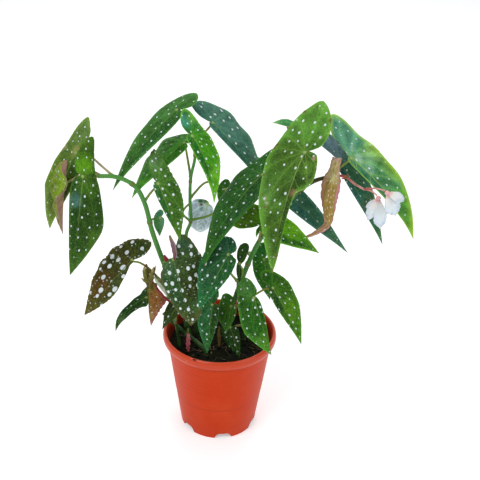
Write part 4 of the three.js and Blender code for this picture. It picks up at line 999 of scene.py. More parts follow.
def rolled_mesh(strip, wrinkle, across=15, rows=49):
    """Both faces of a dry leaf, with creases and a torn edge. Lengths in mm."""
    spine = np.array(strip.spine, float)
    t = np.linspace(0, len(spine) - 1, rows)
    at = smooth(spine[:, :3], rows)
    half = np.interp(t, range(len(spine)), spine[:, 3]) * (1 + strip.ruffle * np.sin(t * 9))
    along = unit(np.gradient(at, axis=0))
    face = np.array(strip.face, float)
    out = unit(face - along * (along @ face)[:, None])
    side = np.cross(out, along)
    roll = math.radians(strip.roll) / 2
    run = np.r_[0, np.cumsum(np.linalg.norm(np.diff(at, axis=0), axis=1))]
    r = half / roll
    sheet, field = [], []
    for w in np.linspace(-1, 1, across):
        a = w * roll * (1 + 0.06 * np.sin(run * 0.45 + 2 * w))
        crease = wrinkle * (np.sin(w * 9 + run * 0.11) + 0.6 * np.sin(run * 0.8 + w * 4))
        crease = crease * np.clip(half / 6, 0.1, 1)
        sheet.append(at + side * ((r + crease) * np.sin(a))[:, None]
                     + out * ((r + crease) * np.cos(a) - r)[:, None])
        field.append(np.stack([run, w * half * 1.5, np.full(rows, abs(w))], 1))
    sheet = np.stack(sheet, 1).reshape(-1, 3)
    field = np.stack(field, 1).reshape(-1, 3)
    grid = np.arange(rows * across).reshape(rows, across)
    corners = (grid[:-1, :-1], grid[1:, :-1], grid[1:, 1:], grid[:-1, 1:])
    faces = [tuple(face) for face in np.stack(corners, 2).reshape(-1, 4).tolist()]
    border = (grid[:, 0], grid[-1, 1:], grid[-2::-1, -1], grid[0, -2:0:-1])
    loop = np.concatenate(border).tolist()
    return thicken(sheet, faces, loop, face_normals(sheet, faces) * 0.3, field)


# ------------------------------------------------------------------ finishes
SHADOW = "#061606"  # the darkest green of a leaf
LARGE_DOT = 1.8  # mm, above which small specks lie all over a leaf


def pot_finish(s):
    f = Finish("pot_plastic", IOR=1.47, Specular_IOR_Level=0.1, Coat_Roughness=0.16)
    place = f.place()
    x, y, z = f.split(place)
    radius = (x * x + y * y).math("SQRT")
    height = z / s.height
    cloud = f.noise(place, 26.0, 4.0)
    fine = f.noise(place, 900.0, 3.0)
    inside = f.step(0.0538 + z * 0.14 - radius, 0.0008, 0.0018)
    body = f.mix(f.step(cloud, 0.42, 0.68) * 0.25, s.plastic, s.wear_and_highlight)
    # painted reflection: the wall paler and pinker towards its left and right sides, where the
    # light glances off it
    body = f.mix(f.step(abs(x), 0.03, 0.06) * 0.3, body, "#c2452f")
    body = f.mix(f.step(height, 0.5, 0.02) * 0.3, body, "#b03413")
    # painted shade: a dark band under the ledge and under the rim
    lines = (f.step(abs(z - 0.0562), 0.003, 0.0004) * 0.5).math("MAXIMUM", f.step(
        abs(z - 0.1365), 0.0028, 0.0006))
    body = f.mix(lines * (0.1 + 0.6 * cloud), body, "#7a210c")
    swirls = f.noise(f.join(x * 9.0, 0.0, z * 420.0), 1.0, 3.0)
    body = f.mix(f.step(swirls, 0.54, 0.72) * 0.42, body, "#a4280a")
    # rubbed and dusty rim, paler on its upward faces: part wear and dust, part painted highlight
    up = f.split(f.wire(f.node("NewGeometry"), "Normal"))[2]
    rim_wear_and_highlight = f.step(height, 0.90, 0.99) * (0.2 + 0.35 * f.step(up, 0.2, 0.95))
    body = f.mix(rim_wear_and_highlight * f.step(fine, 0.25, 0.6), body, s.wear_and_highlight)
    # scuffs round the wall and dried drops of water
    around = y.math("ARCTAN2", x)
    strokes = f.noise(f.join(around * 2.5, z * 260.0, radius * 20.0), 6.0, 2.0)
    body = f.mix(f.step(strokes, 0.62, 0.76) * 0.3, body, "#dd7a63")
    drops = f.wire(f.cells(f.vector("ADD", place, f.noise(place, 60.0, output=1)), 45.0), 0)
    stain = f.step(drops, 0.16, 0.1) * f.step(f.noise(place, 14.0, 1.0), 0.55, 0.62)
    body = f.mix(stain * 0.22, body, "#e09a84")
    fleck = f.cells(place, 140.0)
    lucky = f.step(f.split(f.wire(fleck, "Color"))[0], 0.93, 0.95) * f.step(height, 0.55, 0.7)
    body = f.mix(f.step(f.wire(fleck), 0.09, 0.04) * lucky * 0.7, body, "#e8c4b8")
    # painted shade on the inner wall, splashed soil over it, and a grubby foot
    grime = f.step(f.noise(place, 70.0, 6.0, 0.65), 0.5, 0.72)
    body = f.mix(inside, body, s.shade)
    body = f.mix(inside * grime * 0.75, body, "#2a1710")
    foot = f.step(height, 0.07, 0.0) * grime
    body = f.mix(foot * 0.5, body, "#6b2a18")
    dull = 0.36 + 0.16 * cloud + 0.2 * stain + 0.3 * inside * grime
    rings = f.noise(f.join(0.0, 0.0, z), 900.0, 2.0)
    skin = rings * 0.5 + fine * 0.25 + strokes * 0.3
    polish = f.step(height, 0.86, 0.95) * (0.5 - 0.3 * stain)
    return f.set(Base_Color=body, Roughness=dull, Coat_Weight=polish,
                 Normal=f.bump(skin, 0.00025, 0.5))


def soil_finish(s):
    f = Finish("soil_mix", Specular_IOR_Level=0.1)
    place = f.place()
    damp = f.noise(place, 90.0, 6.0, 0.65)
    grain = f.noise(place, 700.0, 4.0, 0.7)
    body = f.mix(f.step(damp, 0.4, 0.7), s.peat, "#20240f")
    body = f.mix(f.step(grain, 0.6, 0.78) * 0.6, body, "#5a4c34")
    dull = 0.98 - 0.3 * f.step(damp, 0.6, 0.4)
    return f.set(Base_Color=body, Roughness=dull, Normal=f.bump(grain + damp, 0.0012, 0.9))


def fibre_finish(s):
    f = Finish("soil_fibre", Roughness=0.85)
    place = f.place()
    streak = f.noise(f.vector("MULTIPLY", place, (1.0, 1.0, 0.3)), 420.0, 4.0)
    body = f.mix(f.step(streak, 0.35, 0.7), "#3a2d1d", s.fibre)
    return f.set(Base_Color=body, Normal=f.bump(streak, 0.0005, 0.8))


def cane_finish(s):
    """Waxy green cane: pale flecks along it, brown rings, yellower leaf stalks."""
    f = Finish("cane_bark", Specular_IOR_Level=0.2)
    _, ring, stalk = f.split(f.attribute("stem"))
    place = f.place()
    x, y, z = f.split(place)
    cloud = f.noise(place, 60.0, 4.0)
    flecks = f.wire(f.cells(f.vector("MULTIPLY", place, (1.0, 1.0, 0.4)), 520.0), 0)
    # painted shade: the canes darker low down, under the leaves
    body = f.mix(f.step(z, 0.30, 0.16), s.bark, s.low_shade)
    body = f.mix(f.step(cloud, 0.4, 0.7) * 0.35, body, "#62964e")
    body = f.mix(f.step(flecks, 0.22, 0.12) * 0.35, body, "#9cba7e")
    body = f.mix(f.step(stalk, 0.1, 0.9), body, s.petiole)
    blush = f.step(f.noise(place, 33.0, 2.0), 0.5, 0.7) * f.step(stalk, 0.2, 0.6)
    body = f.mix(blush * 0.45, body, "#8f5a44")
    pale = f.step(x, -0.132, -0.142) * f.step(y, -0.053, -0.047)
    body = f.mix(pale * 0.75, body, "#b8a486")
    tanned = f.step(x, 0.088, 0.105) * f.step(x, 0.138, 0.128) * f.step(stalk, 0.3, 0.1)
    body = f.mix(tanned * 0.8, body, "#4c2a20")
    scar = f.step(ring, 0.35, 0.8) * (0.55 + 0.45 * cloud)
    body = f.mix(scar, body, s.ring)
    dull = 0.42 + 0.12 * cloud + 0.25 * scar
    grain = f.noise(f.vector("MULTIPLY", place, (1.0, 1.0, 0.12)), 900.0, 2.0)
    return f.set(Base_Color=body, Roughness=dull,
                 Normal=f.bump(grain + flecks * 0.5 + ring, 0.0003, 0.6))


def leaf_finish(name, look, size, seed, s):
    """The upper side: a tone for each part of the leaf, veins, dots and a marked edge."""
    broad, narrow, lobe, tip, edge = (deep(code) for code in look.tones.split())
    dot, gap, show, scorch = look.dot, look.gap, look.veins, look.scorch
    f = Finish(name, IOR=1.45, Specular_IOR_Level=0.12)
    x, y, out = f.split(f.attribute("blade"))
    sway = f.noise(f.join(x, y, seed), 0.045, 2.0)
    mid, side = vein_distance(WireMaths, x * (1 / size), (y + (sway - 0.5) * 2.2) * (1 / size))
    mid, side = mid * size, side * size
    away = (x * x + y * y).math("SQRT") * (1 / size)
    flat = f.join(x, y, seed * 3.1)
    cloud = f.noise(flat, 0.075, 4.0)
    grain = f.noise(flat, 1.3, 3.0)
    # painted light and shade: the two sides of the midrib take their own tones, lighter or darker
    # by how each side faces the lamps; the lobe and the tip have tones of their own
    body = f.mix(f.step(y, -2.5, 2.5), narrow, broad)
    body = f.mix(f.step(x * (1 / size), 0.1, -0.3), body, lobe)
    body = f.mix(f.step(x * (1 / size), 0.45, 0.95), body, tip)
    # soft spots of scars and tone, and of painted sheen, highlight and shade
    for u, v, radius, code, strength in look.spots_and_painted_light:
        du, dv = x * (1 / size / radius) - u / radius, y * (1 / size / radius) - v / radius
        near = (du * du + dv * dv).math("SQRT") + (cloud - 0.5) * 1.4
        body = f.mix(f.step(near, 1.3, 0.3) * strength, body, deep(code))
    body = f.mix(f.step(cloud, 0.35, 0.7) * 0.6, body, f.mix(0.5, body, "#0c2408"))
    mottle = f.noise(flat, 0.42, 3.0, 0.7)
    body = f.mix(f.step(mottle, 0.46, 0.7) * 0.4, body, f.mix(0.35, body, "#a4d45c"))
    body = f.mix(f.step(mottle, 0.54, 0.32) * 0.55, body, f.mix(0.6, body, SHADOW))
    body = f.mix(f.step(grain, 0.45, 0.75) * 0.2, body, "#86b452")
    body = f.mix(f.step(grain, 0.55, 0.3) * 0.3, body, f.mix(0.6, body, SHADOW))
    # the blade is darker midway between its veins and paler along its edge
    panel = f.step(side, 0.0, 0.05 * size)
    body = f.mix(panel * (0.3 + 0.3 * show), body, f.mix(0.6, body, "#0a2009"))
    body = f.mix(f.step(out, 0.8, 0.98) * 0.4 + f.step(out, 0.96, 0.985) * 0.45, body, edge)
    fade = f.step(away, 0.7, 0.03)
    body = f.mix(f.step(side, 0.7, 0.1) * (0.12 + 0.55 * fade) * show, body, s.vein)
    body = f.mix(f.step(mid, 0.75, 0.2) * (0.25 + 0.75 * fade) * (0.2 + show * 0.8), body,
                 s.vein)
    body = f.mix(f.step(away * size, 2.4, 1.2) * 0.85, body, "#9fb56a")
    # dots keep off the veins, and shrink towards the edge
    long = 0.78
    spots = f.cells(f.join(x * long + seed * 31.0, y), 1 / gap, 0.55, voronoi_dimensions="2D")
    near = f.wire(spots, "Distance") * gap
    cx, cy, _ = f.split(f.wire(spots, "Position"))
    lot, lot2, _ = f.split(f.wire(spots, "Color"))
    m2, s2 = vein_distance(WireMaths, (cx - seed * 31.0) * (1 / size / long), cy * (1 / size))
    clear = f.step(m2.math("MINIMUM", s2) * size, 0.0, 0.4) * f.step(lot2, 0.02, 0.04)
    big = dot * (0.75 + 0.45 * lot) * (1 - 0.4 * f.step(out, 0.75, 1.0)) * clear
    dots = f.step(near + (grain - 0.5) * 0.5 - big, 0.3, -0.2) * f.step(big, 0.2, 0.5)
    close = gap * 0.42
    small = f.cells(f.join(x + 31.0, y + 17.0), 1 / close, 0.7, voronoi_dimensions="2D")
    lot3 = f.split(f.wire(small, "Color"))[0]
    grit = f.wire(small, "Distance") * close
    specks = f.step(grit - dot * (0.18 + 0.22 * lot3), 0.2, -0.2)
    among = 1.0 if dot > LARGE_DOT else f.step(out, 0.6, 0.85)
    specks = specks * f.step(lot3, 0.74, 0.78) * f.step(side, 0.2, 0.6) * among
    marks = dots.math("MAXIMUM", specks * 0.6) * f.step(mid, 0.3, 0.7)
    body = f.mix(marks * (0.6 + 0.2 * lot2 + min(0.2, dot * 0.1)), body, s.dot)
    # the fine net of veins, darker: part vein colour, part painted shade in the creases of the
    # quilted blade
    net = f.wire(f.cells(flat, 0.42, feature="DISTANCE_TO_EDGE"), 0)
    body = f.mix(f.step(net, 0.16, 0.02) * (1 - marks) * 0.22, body, f.mix(0.7, body, SHADOW))
    # scorched edge and crust spots
    patch = f.noise(flat, 0.11, 5.0, 0.6)
    burn = f.step(patch + out * 0.22, 0.93 - 0.24 * scorch, 0.97 - 0.24 * scorch)
    burn = burn * f.step(out, 0.6, 0.92)
    end = f.step(x * (1 / size), 0.97, 0.99)
    crust = f.wire(f.cells(f.vector("ADD", flat, (7.0, 3.0, 0.0)), 0.07, 1.0), 0)
    crust = f.step(crust * 14.0, 1.6, 0.9) * f.step(f.noise(flat, 0.05, 1.0), 0.66, 0.7)
    wear = burn.math("MAXIMUM", end).math("MAXIMUM", crust * (0.3 + scorch))
    body = f.mix(wear * 0.85, body, f.mix(f.step(grain, 0.4, 0.7), "#54351c", "#9a7c52"))
    dull = look.dull + 0.12 * cloud + 0.1 * marks + 0.35 * wear
    height = (f.step(side, 0.0, 0.9) * 0.8 + f.step(mid, 0.0, 1.3) * 1.2
              + f.step(net, 0.0, 0.12) * 0.35 + grain * 0.25 + marks * 0.3 + wear * 0.5 * grain)
    # painted glow: emission stands for light shining through the leaf
    if look.glow:
        f.set(Emission_Color=body, Emission_Strength=look.glow)
    return f.set(Base_Color=body, Roughness=dull, Normal=f.bump(height, 0.0006, 0.6))


def under_finish(name, look, size, seed, s):
    """The back of a leaf: dull wine red with raised veins, greener on bright leaves."""
    f = Finish(name + "_under", IOR=1.42)
    x, y, out = f.split(f.attribute("blade"))
    mid, side = vein_distance(WireMaths, x * (1 / size), y * (1 / size))
    mid, side = mid * size, side * size
    away = (x * x + y * y).math("SQRT") * (1 / size)
    flat = f.join(x, y, seed * 2.3)
    cloud = f.noise(flat, 0.07, 4.0)
    net = f.wire(f.cells(flat, 0.38, feature="DISTANCE_TO_EDGE"), 0)
    upper, *_, edge = look.tones.split()
    back = look.back or s.under
    body = f.mix(f.step(cloud, 0.35, 0.7), back, f.mix(0.3, back, upper))
    body = f.mix(f.step(net, 0.10, 0.02) * 0.3, body, s.under_vein)
    body = f.mix(f.step(out, 0.86, 1.0) * 0.45, body, edge)
    lines = (f.step(side, 0.6, 0.15) * 0.6).math("MAXIMUM", f.step(mid, 1.1, 0.3))
    body = f.mix(lines * (1 - 0.45 * away), body, s.under_vein)
    height = f.step(side, 0.9, 0.1) + f.step(mid, 1.4, 0.2) * 1.6 + f.step(net, 0.10, 0.0) * 0.3
    dull = 0.5 + 0.15 * cloud
    return f.set(Base_Color=body, Roughness=dull, Normal=f.bump(height, 0.0005, 0.7))


def petal_finish(s):
    f = Finish("petal_white", Subsurface_Weight=0.15, Subsurface_Scale=0.002)
    x, y, out = f.split(f.attribute("blade"))
    away = (x * x + y * y).math("SQRT")
    lines = f.noise(f.join(y.math("ARCTAN2", x) * 26.0, away * 0.02, 0.0), 1.0, 2.0)
    flat = f.join(x, y, 0.0)
    body = f.mix(f.step(away, 20.0, 6.0) * 0.6, s.petal, "#f2ebdf")
    body = f.mix(f.step(away, 10.0, 2.0) * 0.9, body, s.blush)
    body = f.mix(f.step(lines, 0.5, 0.65) * f.step(away, 30.0, 8.0) * 0.4, body, "#dcc4a4")
    # painted shade: blue-grey along the petal edges, deeper in patches that stand for folds
    fold_shade = f.step(f.noise(flat, 0.16, 2.0), 0.45, 0.65)
    body = f.mix(f.step(out, 0.6, 1.0) * (0.25 + 0.5 * fold_shade), body, "#a4bccf")
    dull = 0.5 + 0.12 * f.noise(flat, 0.8, 2.0)
    return f.set(Base_Color=body, Roughness=dull, Normal=f.bump(lines + out * 0.2, 0.0008, 0.8))


def stalk_finish(s):
    f = Finish("flower_stalk_skin", Coat_Weight=0.1, Coat_Roughness=0.35)
    place = f.place()
    along = f.split(f.attribute("stem"))[0]
    cloud = f.noise(place, 120.0, 3.0)
    body = f.mix(f.step(along, 0.1, 0.9), s.stalk, "#d9a49a")
    body = f.mix(f.step(cloud, 0.45, 0.7) * 0.5, body, "#8f4a3c")
    return f.set(Base_Color=body, Roughness=0.4 + 0.15 * cloud, Normal=f.bump(cloud, 0.0003, 0.5))


def dry_finish(name, strip, total):
    """Dry leaf: its top, middle, tail and rolled edge in their own tones, with faded veins."""
    top, middle, tail, rolled = strip.tones
    f = Finish(name, Specular_IOR_Level=0.25)
    run, w, edge = f.split(f.attribute("blade"))
    flat = f.join(run, w, 0.0)
    streak = f.noise(f.join(run * 0.12, w * 0.7, 0.0), 1.0, 5.0, 0.65)
    cloud = f.noise(flat, 0.09, 3.0)
    grain = f.noise(flat, 1.1, 4.0)
    place = run / total + (cloud - 0.5) * 0.16
    body = f.mix(f.step(place, 0.13, 0.3), top, middle)
    body = f.mix(f.step(place, 0.6, 0.78), body, tail)
    body = f.mix(f.step(cloud, 0.4, 0.65) * 0.4, body, f.mix(0.5, body, "#4a3a18"))
    body = f.mix(f.step(streak, 0.5, 0.75) * 0.35, body, f.mix(0.5, body, "#e8d8b0"))
    body = f.mix(f.step(edge, 0.5, 0.8) * (0.45 + 0.5 * f.step(w, -4.0, 4.0)), body, rolled)
    body = f.mix(f.step(grain, 0.55, 0.8) * 0.35, body, "#4a2f20")
    if strip.dots:
        from_star = run - total * 0.2
        turn = w.math("ARCTAN2", from_star)
        reach = (w * w + from_star * from_star).math("SQRT")
        ray = abs((turn + 0.3).math("FLOORED_MODULO", 0.6) - 0.3) * reach
        body = f.mix(f.step(ray, 0.7, 0.2) * f.step(reach, 22.0, 2.0) * 0.7, body, "#cfd08a")
        close = 0.11
        spots = f.cells(f.join(run, w * 1.6, 0.0), close, 0.6, voronoi_dimensions="2D")
        near = f.wire(spots, "Distance") / close
        body = f.mix(f.step(near, 1.9, 1.0) * f.step(edge, 0.6, 0.4) * 0.85, body, "#e4dccb")
    dull = 0.62 + 0.2 * grain
    return f.set(Base_Color=body, Roughness=dull, Normal=f.bump(streak + grain * 0.4, 0.0009, 0.8))


# ------------------------------------------------------------------ operators
# The pot in mm: its thickness, how much it widens for each mm up, the radius of its foot and
# of its middle disc, the height of its rim and the height of its raised floor.
WALL, TAPER, FOOT, HUB, LIP, FLOOR = 2.5, 0.14, 53.8, 34, 15, 10
# Its drain arches: how many, where the first is in degrees, half their width, their height.
ARCHES, FIRST_ARCH, ARCH_HALF, ARCH_HIGH = 6, -80.5, 12.5, 9.0
SOIL_RADIUS = 70.2  # mm
LARGE_LEAF = 70  # mm, above which a leaf gets a finer mesh


class BEGONIA_OT_pot(bpy.types.Operator):
    """Build the rolled-rim nursery pot with its drain arches"""

    bl_idname = "begonia.pot"
    bl_label = "Pot"

    def execute(self, context):
        s = context.scene.begonia_pot
        rim, top = s.rim_radius / MM, s.height / MM
        wall_top = top - LIP
        under = FOOT + TAPER * wall_top

        def inner(z):
            return under - WALL - TAPER * (wall_top - z)

        floor = FLOOR + WALL
        profile = [
            (0, 0), (HUB, 0), (HUB + 2, FLOOR), (48, FLOOR), (50, 0), (FOOT, 0), (61.5, 55),
            (61.95, 57.2), (62.35, 59.4), (under - 0.15, wall_top - 1), (rim - 3, wall_top + 0.9),
            (rim - 0.7, wall_top + 4), (rim, wall_top + 7.5), (rim - 0.8, top - 3),
            (rim - 2.6, top - 0.5), (rim - 4, top), (rim - 5.6, top - 1.4), (rim - 6.4, top - 5),
            (inner(wall_top) + 0.4, wall_top + 1), (inner(floor), floor), (HUB + 0.2, floor),
            (HUB - 1.8, WALL), (0, WALL),
        ]
        points, faces = turned(rounded(profile, 1.1), 192)
        pot = make_piece("pot_shell", points, faces, [pot_finish(s)], ["pot"], "pot_plastic")
        half, high = ARCH_HALF, ARCH_HIGH
        arch = rounded([(0, -5), (half, -5), (half, 0), (half - 3, high - 2.5), (half - 6, high),
                        (0, high)], 2.0)
        arch = [*arch, *((-a, b) for a, b in reversed(arch[1:-1]))]
        n = len(arch)
        prism = [list(range(n))[::-1], list(range(n, 2 * n))]
        prism += [[i, (i + 1) % n, n + (i + 1) % n, n + i] for i in range(n)]
        cuts = Heap()
        for k in range(ARCHES):
            turn = math.radians(FIRST_ARCH + 360 / ARCHES * k)
            out = np.array((math.cos(turn), math.sin(turn)))
            side = np.array((-out[1], out[0]))
            ends = [(*(out * reach + side * a), b) for reach in (43.5, 70) for a, b in arch]
            cuts.add(ends, prism, ends)
        cutter = new_mesh("arches", np.concatenate(cuts.points), cuts.faces)
        modifier = pot.modifiers.new("arches", "BOOLEAN")
        modifier.operation, modifier.solver, modifier.object = "DIFFERENCE", "EXACT", cutter
        shape = bpy.data.meshes.new_from_object(
            pot.evaluated_get(context.evaluated_depsgraph_get())
        )
        if len(shape.polygons) < len(faces) // 2:
            raise RuntimeError("the drain arches could not be cut")
        pot.modifiers.clear()
        pot.data = shape
        pot.data.set_sharp_from_angle(angle=math.radians(38))
        bpy.data.objects.remove(cutter)
        # the small dark nick on the front of the rim
        nick = tube([(-34.6, -69.6, 151.9), (-32.2, -71.2, 152.3), (-29.2, -72.7, 151.9)],
                    lambda d, total: 0.3 + 1.0 * np.sin(math.pi * d / total), 10, 0.3)
        dirt = Finish("rim_nick", Roughness=0.8)
        dirt.set(Base_Color=dirt.mix(dirt.noise(dirt.place(), 900.0), "#2a0f0a", "#5a2318"))
        make_piece("pot_rim_nick", *nick[:2], [dirt.material], slot="pot_plastic")
        return {"FINISHED"}


class BEGONIA_OT_soil(bpy.types.Operator):
    """Build the lumpy soil, its loose crumbs, and the roots and twigs in it"""

    bl_idname = "begonia.soil"
    bl_label = "Soil"

    def execute(self, context):
        s = context.scene.begonia_soil
        level, wall = s.level / MM, SOIL_RADIUS
        chance = random.Random(11)
        earth = soil_finish(s)

        def ground(x, y):
            p = np.stack([np.atleast_1d(x), np.atleast_1d(y), np.zeros(np.size(x))], 1)
            lumps = 1.5 * hills(p, 7.0) + 0.8 * hills(p, 2.9, 3.0) + 0.4 * hills(p, 1.2, 5.0)
            return level + lumps + 1.4 * np.clip(np.hypot(p[:, 0], p[:, 1]) / wall, 0, 1) ** 4

        rings = [wall * (i / 60) for i in range(61)]
        points, faces = turned([(r, 0) for r in rings] + [(wall - 1, -12), (0, -14)], 150)
        points = np.array(points)
        top = points[:, 2] > -1
        points[top, 2] = ground(points[top, 0], points[top, 1])
        points[~top, 2] += level
        faces = [f[::-1] for f in faces]
        make_piece("soil_surface", points, faces, [earth], ["soil"], "soil")
        pebble, skin = ball(1, 5, 8)
        pebble = np.array(pebble)
        crumbs = Heap()
        for _ in range(s.crumbs):
            angle, r = chance.uniform(0, 2 * math.pi), wall * math.sqrt(chance.random()) * 0.96
            x, y = r * math.cos(angle), r * math.sin(angle)
            size = 0.7 + 2.1 * chance.random() ** 3
            lump = pebble * (1 + 0.3 * hills(pebble, 0.5, chance.uniform(0, 9)))[:, None]
            stretch = [chance.uniform(*span) for span in ((0.7, 1.6), (0.6, 1.1), (0.5, 0.9))]
            a = chance.uniform(0, math.pi)
            spin = [[math.cos(a), -math.sin(a), 0], [math.sin(a), math.cos(a), 0], [0, 0, 1]]
            lump = lump * stretch * size @ spin + (x, y, ground(x, y)[0] + 0.25 * size)
            crumbs.add(lump, skin, 0 * lump)
        crumbs.piece("soil_crumbs", earth, (), "soil")
        twigs = Heap()
        for _ in range(s.twigs):
            angle, r = chance.uniform(0, 2 * math.pi), 62 * math.sqrt(chance.random())
            x, y, way = r * math.cos(angle), r * math.sin(angle), chance.uniform(0, 2 * math.pi)
            thick, path = chance.choice((0.35, 0.45, 0.6, 1.0)), []
            for _ in range(chance.randint(4, 7)):
                if math.hypot(x, y) > 67:
                    break
                path.append((x, y, ground(x, y)[0] + thick * chance.uniform(0.4, 1.8)))
                way += chance.uniform(-0.6, 0.6)
                x, y = x + 4.5 * math.cos(way), y + 4.5 * math.sin(way)
            if len(path) > 2:
                twigs.add_tube(path, fading(thick, thick / 2), 7, 2.0, lambda d, total: (d, 0, 0))
        twigs.piece("soil_twigs", fibre_finish(s), (), "soil")
        return {"FINISHED"}


class BEGONIA_OT_canes(bpy.types.Operator):
    """Build the canes and shoots with their rings and leaf stalks"""

    bl_idname = "begonia.canes"
    bl_label = "Canes"

    def execute(self, context):
        bark = cane_finish(context.scene.begonia_cane)
        for name, cane in CANES.items():
            cane_piece(name, cane, bark)
        return {"FINISHED"}


class BEGONIA_OT_leaves(bpy.types.Operator):
    """Build every leaf with its veins, dots and wine-red back"""

    bl_idname = "begonia.leaves"
    bl_label = "Leaves"

    def execute(self, context):
        s = context.scene.begonia_leaf
        for seed, (name, leaf) in enumerate(LEAVES.items(), 1):
            look = LOOKS[name]
            size = leaf_frame(leaf).length
            count, rows = (170, 20) if size > LARGE_LEAF else (100, 12)
            edge = outline(leaf.narrow, leaf.broad, count)
            points, faces, where, split = blade_mesh(
                leaf, edge, rows, s.thickness / MM, s.relief / MM, *look.teeth
            )
            upper = leaf_finish(name, look, size, float(seed), s)
            under = under_finish(name, look, size, float(seed), s)
            picks = [0] * split + [1] * (len(faces) - split)
            make_piece(name + "_blade", points, faces, [upper, under], [name], look.slot,
                       {"blade": where}, picks)
        return {"FINISHED"}


class BEGONIA_OT_flowers(bpy.types.Operator):
    """Build the two white flowers on their forked pink stalk"""

    bl_idname = "begonia.flowers"
    bl_label = "Flowers"

    def execute(self, context):
        s = context.scene.begonia_flower
        white = petal_finish(s)
        edge = outline(PETAL_A, PETAL_B, 70)
        for name, (core, petals) in FLOWERS.items():
            heap = Heap()
            for tip, face, wide in petals:
                petal = Leaf(core, tip, 1, face, arch=40, fold=0, wide=wide, slim=wide, cup=18,
                             wave=0.02, waves=2.2, lobe=0)
                heap.add(*blade_mesh(petal, edge, 12, 0.6, 0.0, 1.4, 5)[:3])
            points, skin = ball(3.2, 12, 20)
            heap.add(np.array(points) + core, skin, 0 * np.array(points))
            heap.piece(name + "_petals", white, [name], "petal", "blade")
        stalk = Heap()
        for way, start, end in STALKS:
            radius = swollen(start, end, 0.2, 2.5)
            stalk.add_tube(way, radius, 12, 1.2, lambda d, total: (d / total, 0, 0))
        stalk.piece("flower_stalk_stem", stalk_finish(s), ["flower_stalk"], "flower_stalk")
        return {"FINISHED"}


class BEGONIA_OT_withered(bpy.types.Operator):
    """Build the dry rolled leaves and the pink bract"""

    bl_idname = "begonia.withered"
    bl_label = "Dry leaves"

    def execute(self, context):
        s = context.scene.begonia_withered
        for name, strip in {**WITHERED, **CURLS}.items():
            points, faces, where = rolled_mesh(strip, s.wrinkle / MM)
            skin = dry_finish(name + "_skin", strip, where[:, 0].max())
            solid = [name] if name in WITHERED else []
            make_piece(name + "_roll", points, faces, [skin], solid, "dry_leaf", {"blade": where})
        return {"FINISHED"}


# Where the camera stands in metres, and how it is turned in degrees.
CAMERA_PLACE, CAMERA_DOWN, CAMERA_ROLL = (0.0245, -1.2293, 1.0303), 30.7, 1.8
FLOOR_REACH = 9000  # mm
AIM = Vector((0, 0, 0.28))  # where the lamps point
LAMPS = {  # place in metres, width and power
    "key": ((-0.9, -1.1, 1.7), 1.3, 15),
    "fill": ((1.3, -0.9, 1.2), 1.4, 6),
    "back": ((0.2, 1.3, 1.7), 1.6, 11),
}


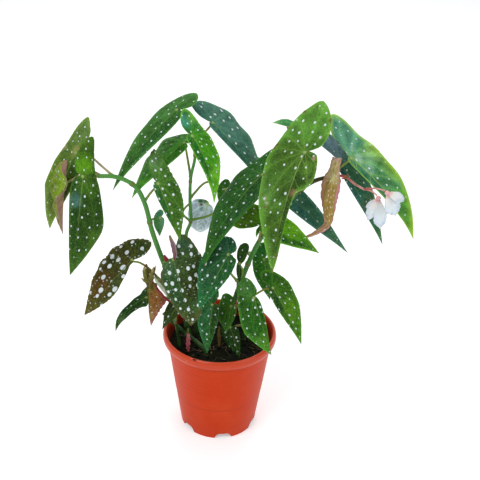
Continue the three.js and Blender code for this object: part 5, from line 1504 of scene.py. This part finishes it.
class BEGONIA_OT_stage(bpy.types.Operator):
    """Set up the floor, the soft lamps and the camera"""

    bl_idname = "begonia.stage"
    bl_label = "Stage"

    def execute(self, context):
        s = context.scene.begonia_stage
        scene = context.scene
        scene.view_settings.view_transform = "Standard"
        r = FLOOR_REACH
        corners = [(-r, -r, 0), (r, -r, 0), (r, r, 0), (-r, r, 0)]
        floor = new_mesh("floor", corners, [(0, 1, 2, 3)])
        paint = Finish("floor_paper", Roughness=0.9)
        paint.set(Base_Color=(*s.floor, 1.0), Emission_Color=(1.0, 1.0, 1.0, 1.0),
                  Emission_Strength=0.34)
        floor.data.materials.append(paint.material)
        world = bpy.data.worlds.new("studio")
        world.use_nodes = True
        sky = world.node_tree.nodes["Background"].inputs
        sky["Color"].default_value = (0.95, 0.98, 1.0, 1)
        sky["Strength"].default_value = 0.55 * s.lamp
        scene.world = world
        for name, (place, size, power) in LAMPS.items():
            lamp = bpy.data.lights.new(name, "AREA")
            lamp.shape, lamp.size, lamp.energy = "DISK", size, power * s.lamp
            stand = new_object(name, lamp)
            stand.location = place
            stand.rotation_mode = "QUATERNION"
            stand.rotation_quaternion = (Vector(place) - AIM).to_track_quat("Z", "Y")
        camera = bpy.data.cameras.new("camera")
        camera.sensor_width, camera.lens = 36.0, s.lens
        camera.clip_start, camera.clip_end = 0.05, 40.0
        eye = new_object("camera", camera)
        tilt, roll = math.radians(CAMERA_DOWN), math.radians(CAMERA_ROLL)
        ahead = np.array((0, math.cos(tilt), -math.sin(tilt)))
        rise = np.array((0, math.sin(tilt), math.cos(tilt)))
        right = np.array((1.0, 0, 0))
        axes = np.stack([right * math.cos(roll) + rise * math.sin(roll),
                         rise * math.cos(roll) - right * math.sin(roll), -ahead], 1)
        turn = np.eye(4)
        turn[:3, :3] = axes
        turn[:3, 3] = CAMERA_PLACE
        eye.matrix_world = Matrix(turn.tolist())
        scene.camera = eye
        return {"FINISHED"}


class BEGONIA_PT_sidebar(bpy.types.Panel):
    """Lists the parts of the begonia and their sizes and colours"""

    bl_label = "Begonia"
    bl_idname = "BEGONIA_PT_sidebar"
    bl_space_type = "VIEW_3D"
    bl_region_type = "UI"
    bl_category = "Begonia"

    def draw(self, context):
        for operator, group in STEPS:
            box = self.layout.box()
            box.operator(operator.bl_idname)
            settings = getattr(context.scene, group)
            for name in settings.__annotations__:
                box.prop(settings, name)


GROUPS = {
    "begonia_pot": PotSettings,
    "begonia_soil": SoilSettings,
    "begonia_cane": CaneSettings,
    "begonia_leaf": LeafSettings,
    "begonia_flower": FlowerSettings,
    "begonia_withered": WitheredSettings,
    "begonia_stage": StageSettings,
}
STEPS = [
    (BEGONIA_OT_pot, "begonia_pot"),
    (BEGONIA_OT_soil, "begonia_soil"),
    (BEGONIA_OT_canes, "begonia_cane"),
    (BEGONIA_OT_leaves, "begonia_leaf"),
    (BEGONIA_OT_flowers, "begonia_flower"),
    (BEGONIA_OT_withered, "begonia_withered"),
    (BEGONIA_OT_stage, "begonia_stage"),
]
CLASSES = [*GROUPS.values(), *(operator for operator, _ in STEPS), BEGONIA_PT_sidebar]


def register():
    for cls in CLASSES:
        bpy.utils.register_class(cls)
    for name, group in GROUPS.items():
        setattr(bpy.types.Scene, name, bpy.props.PointerProperty(type=group))


def unregister():
    for name in GROUPS:
        delattr(bpy.types.Scene, name)
    for cls in reversed(CLASSES):
        bpy.utils.unregister_class(cls)


def main():
    register()
    for operator, _ in STEPS:
        family, name = operator.bl_idname.split(".")
        getattr(getattr(bpy.ops, family), name)()


if __name__ == "__main__":
    main()
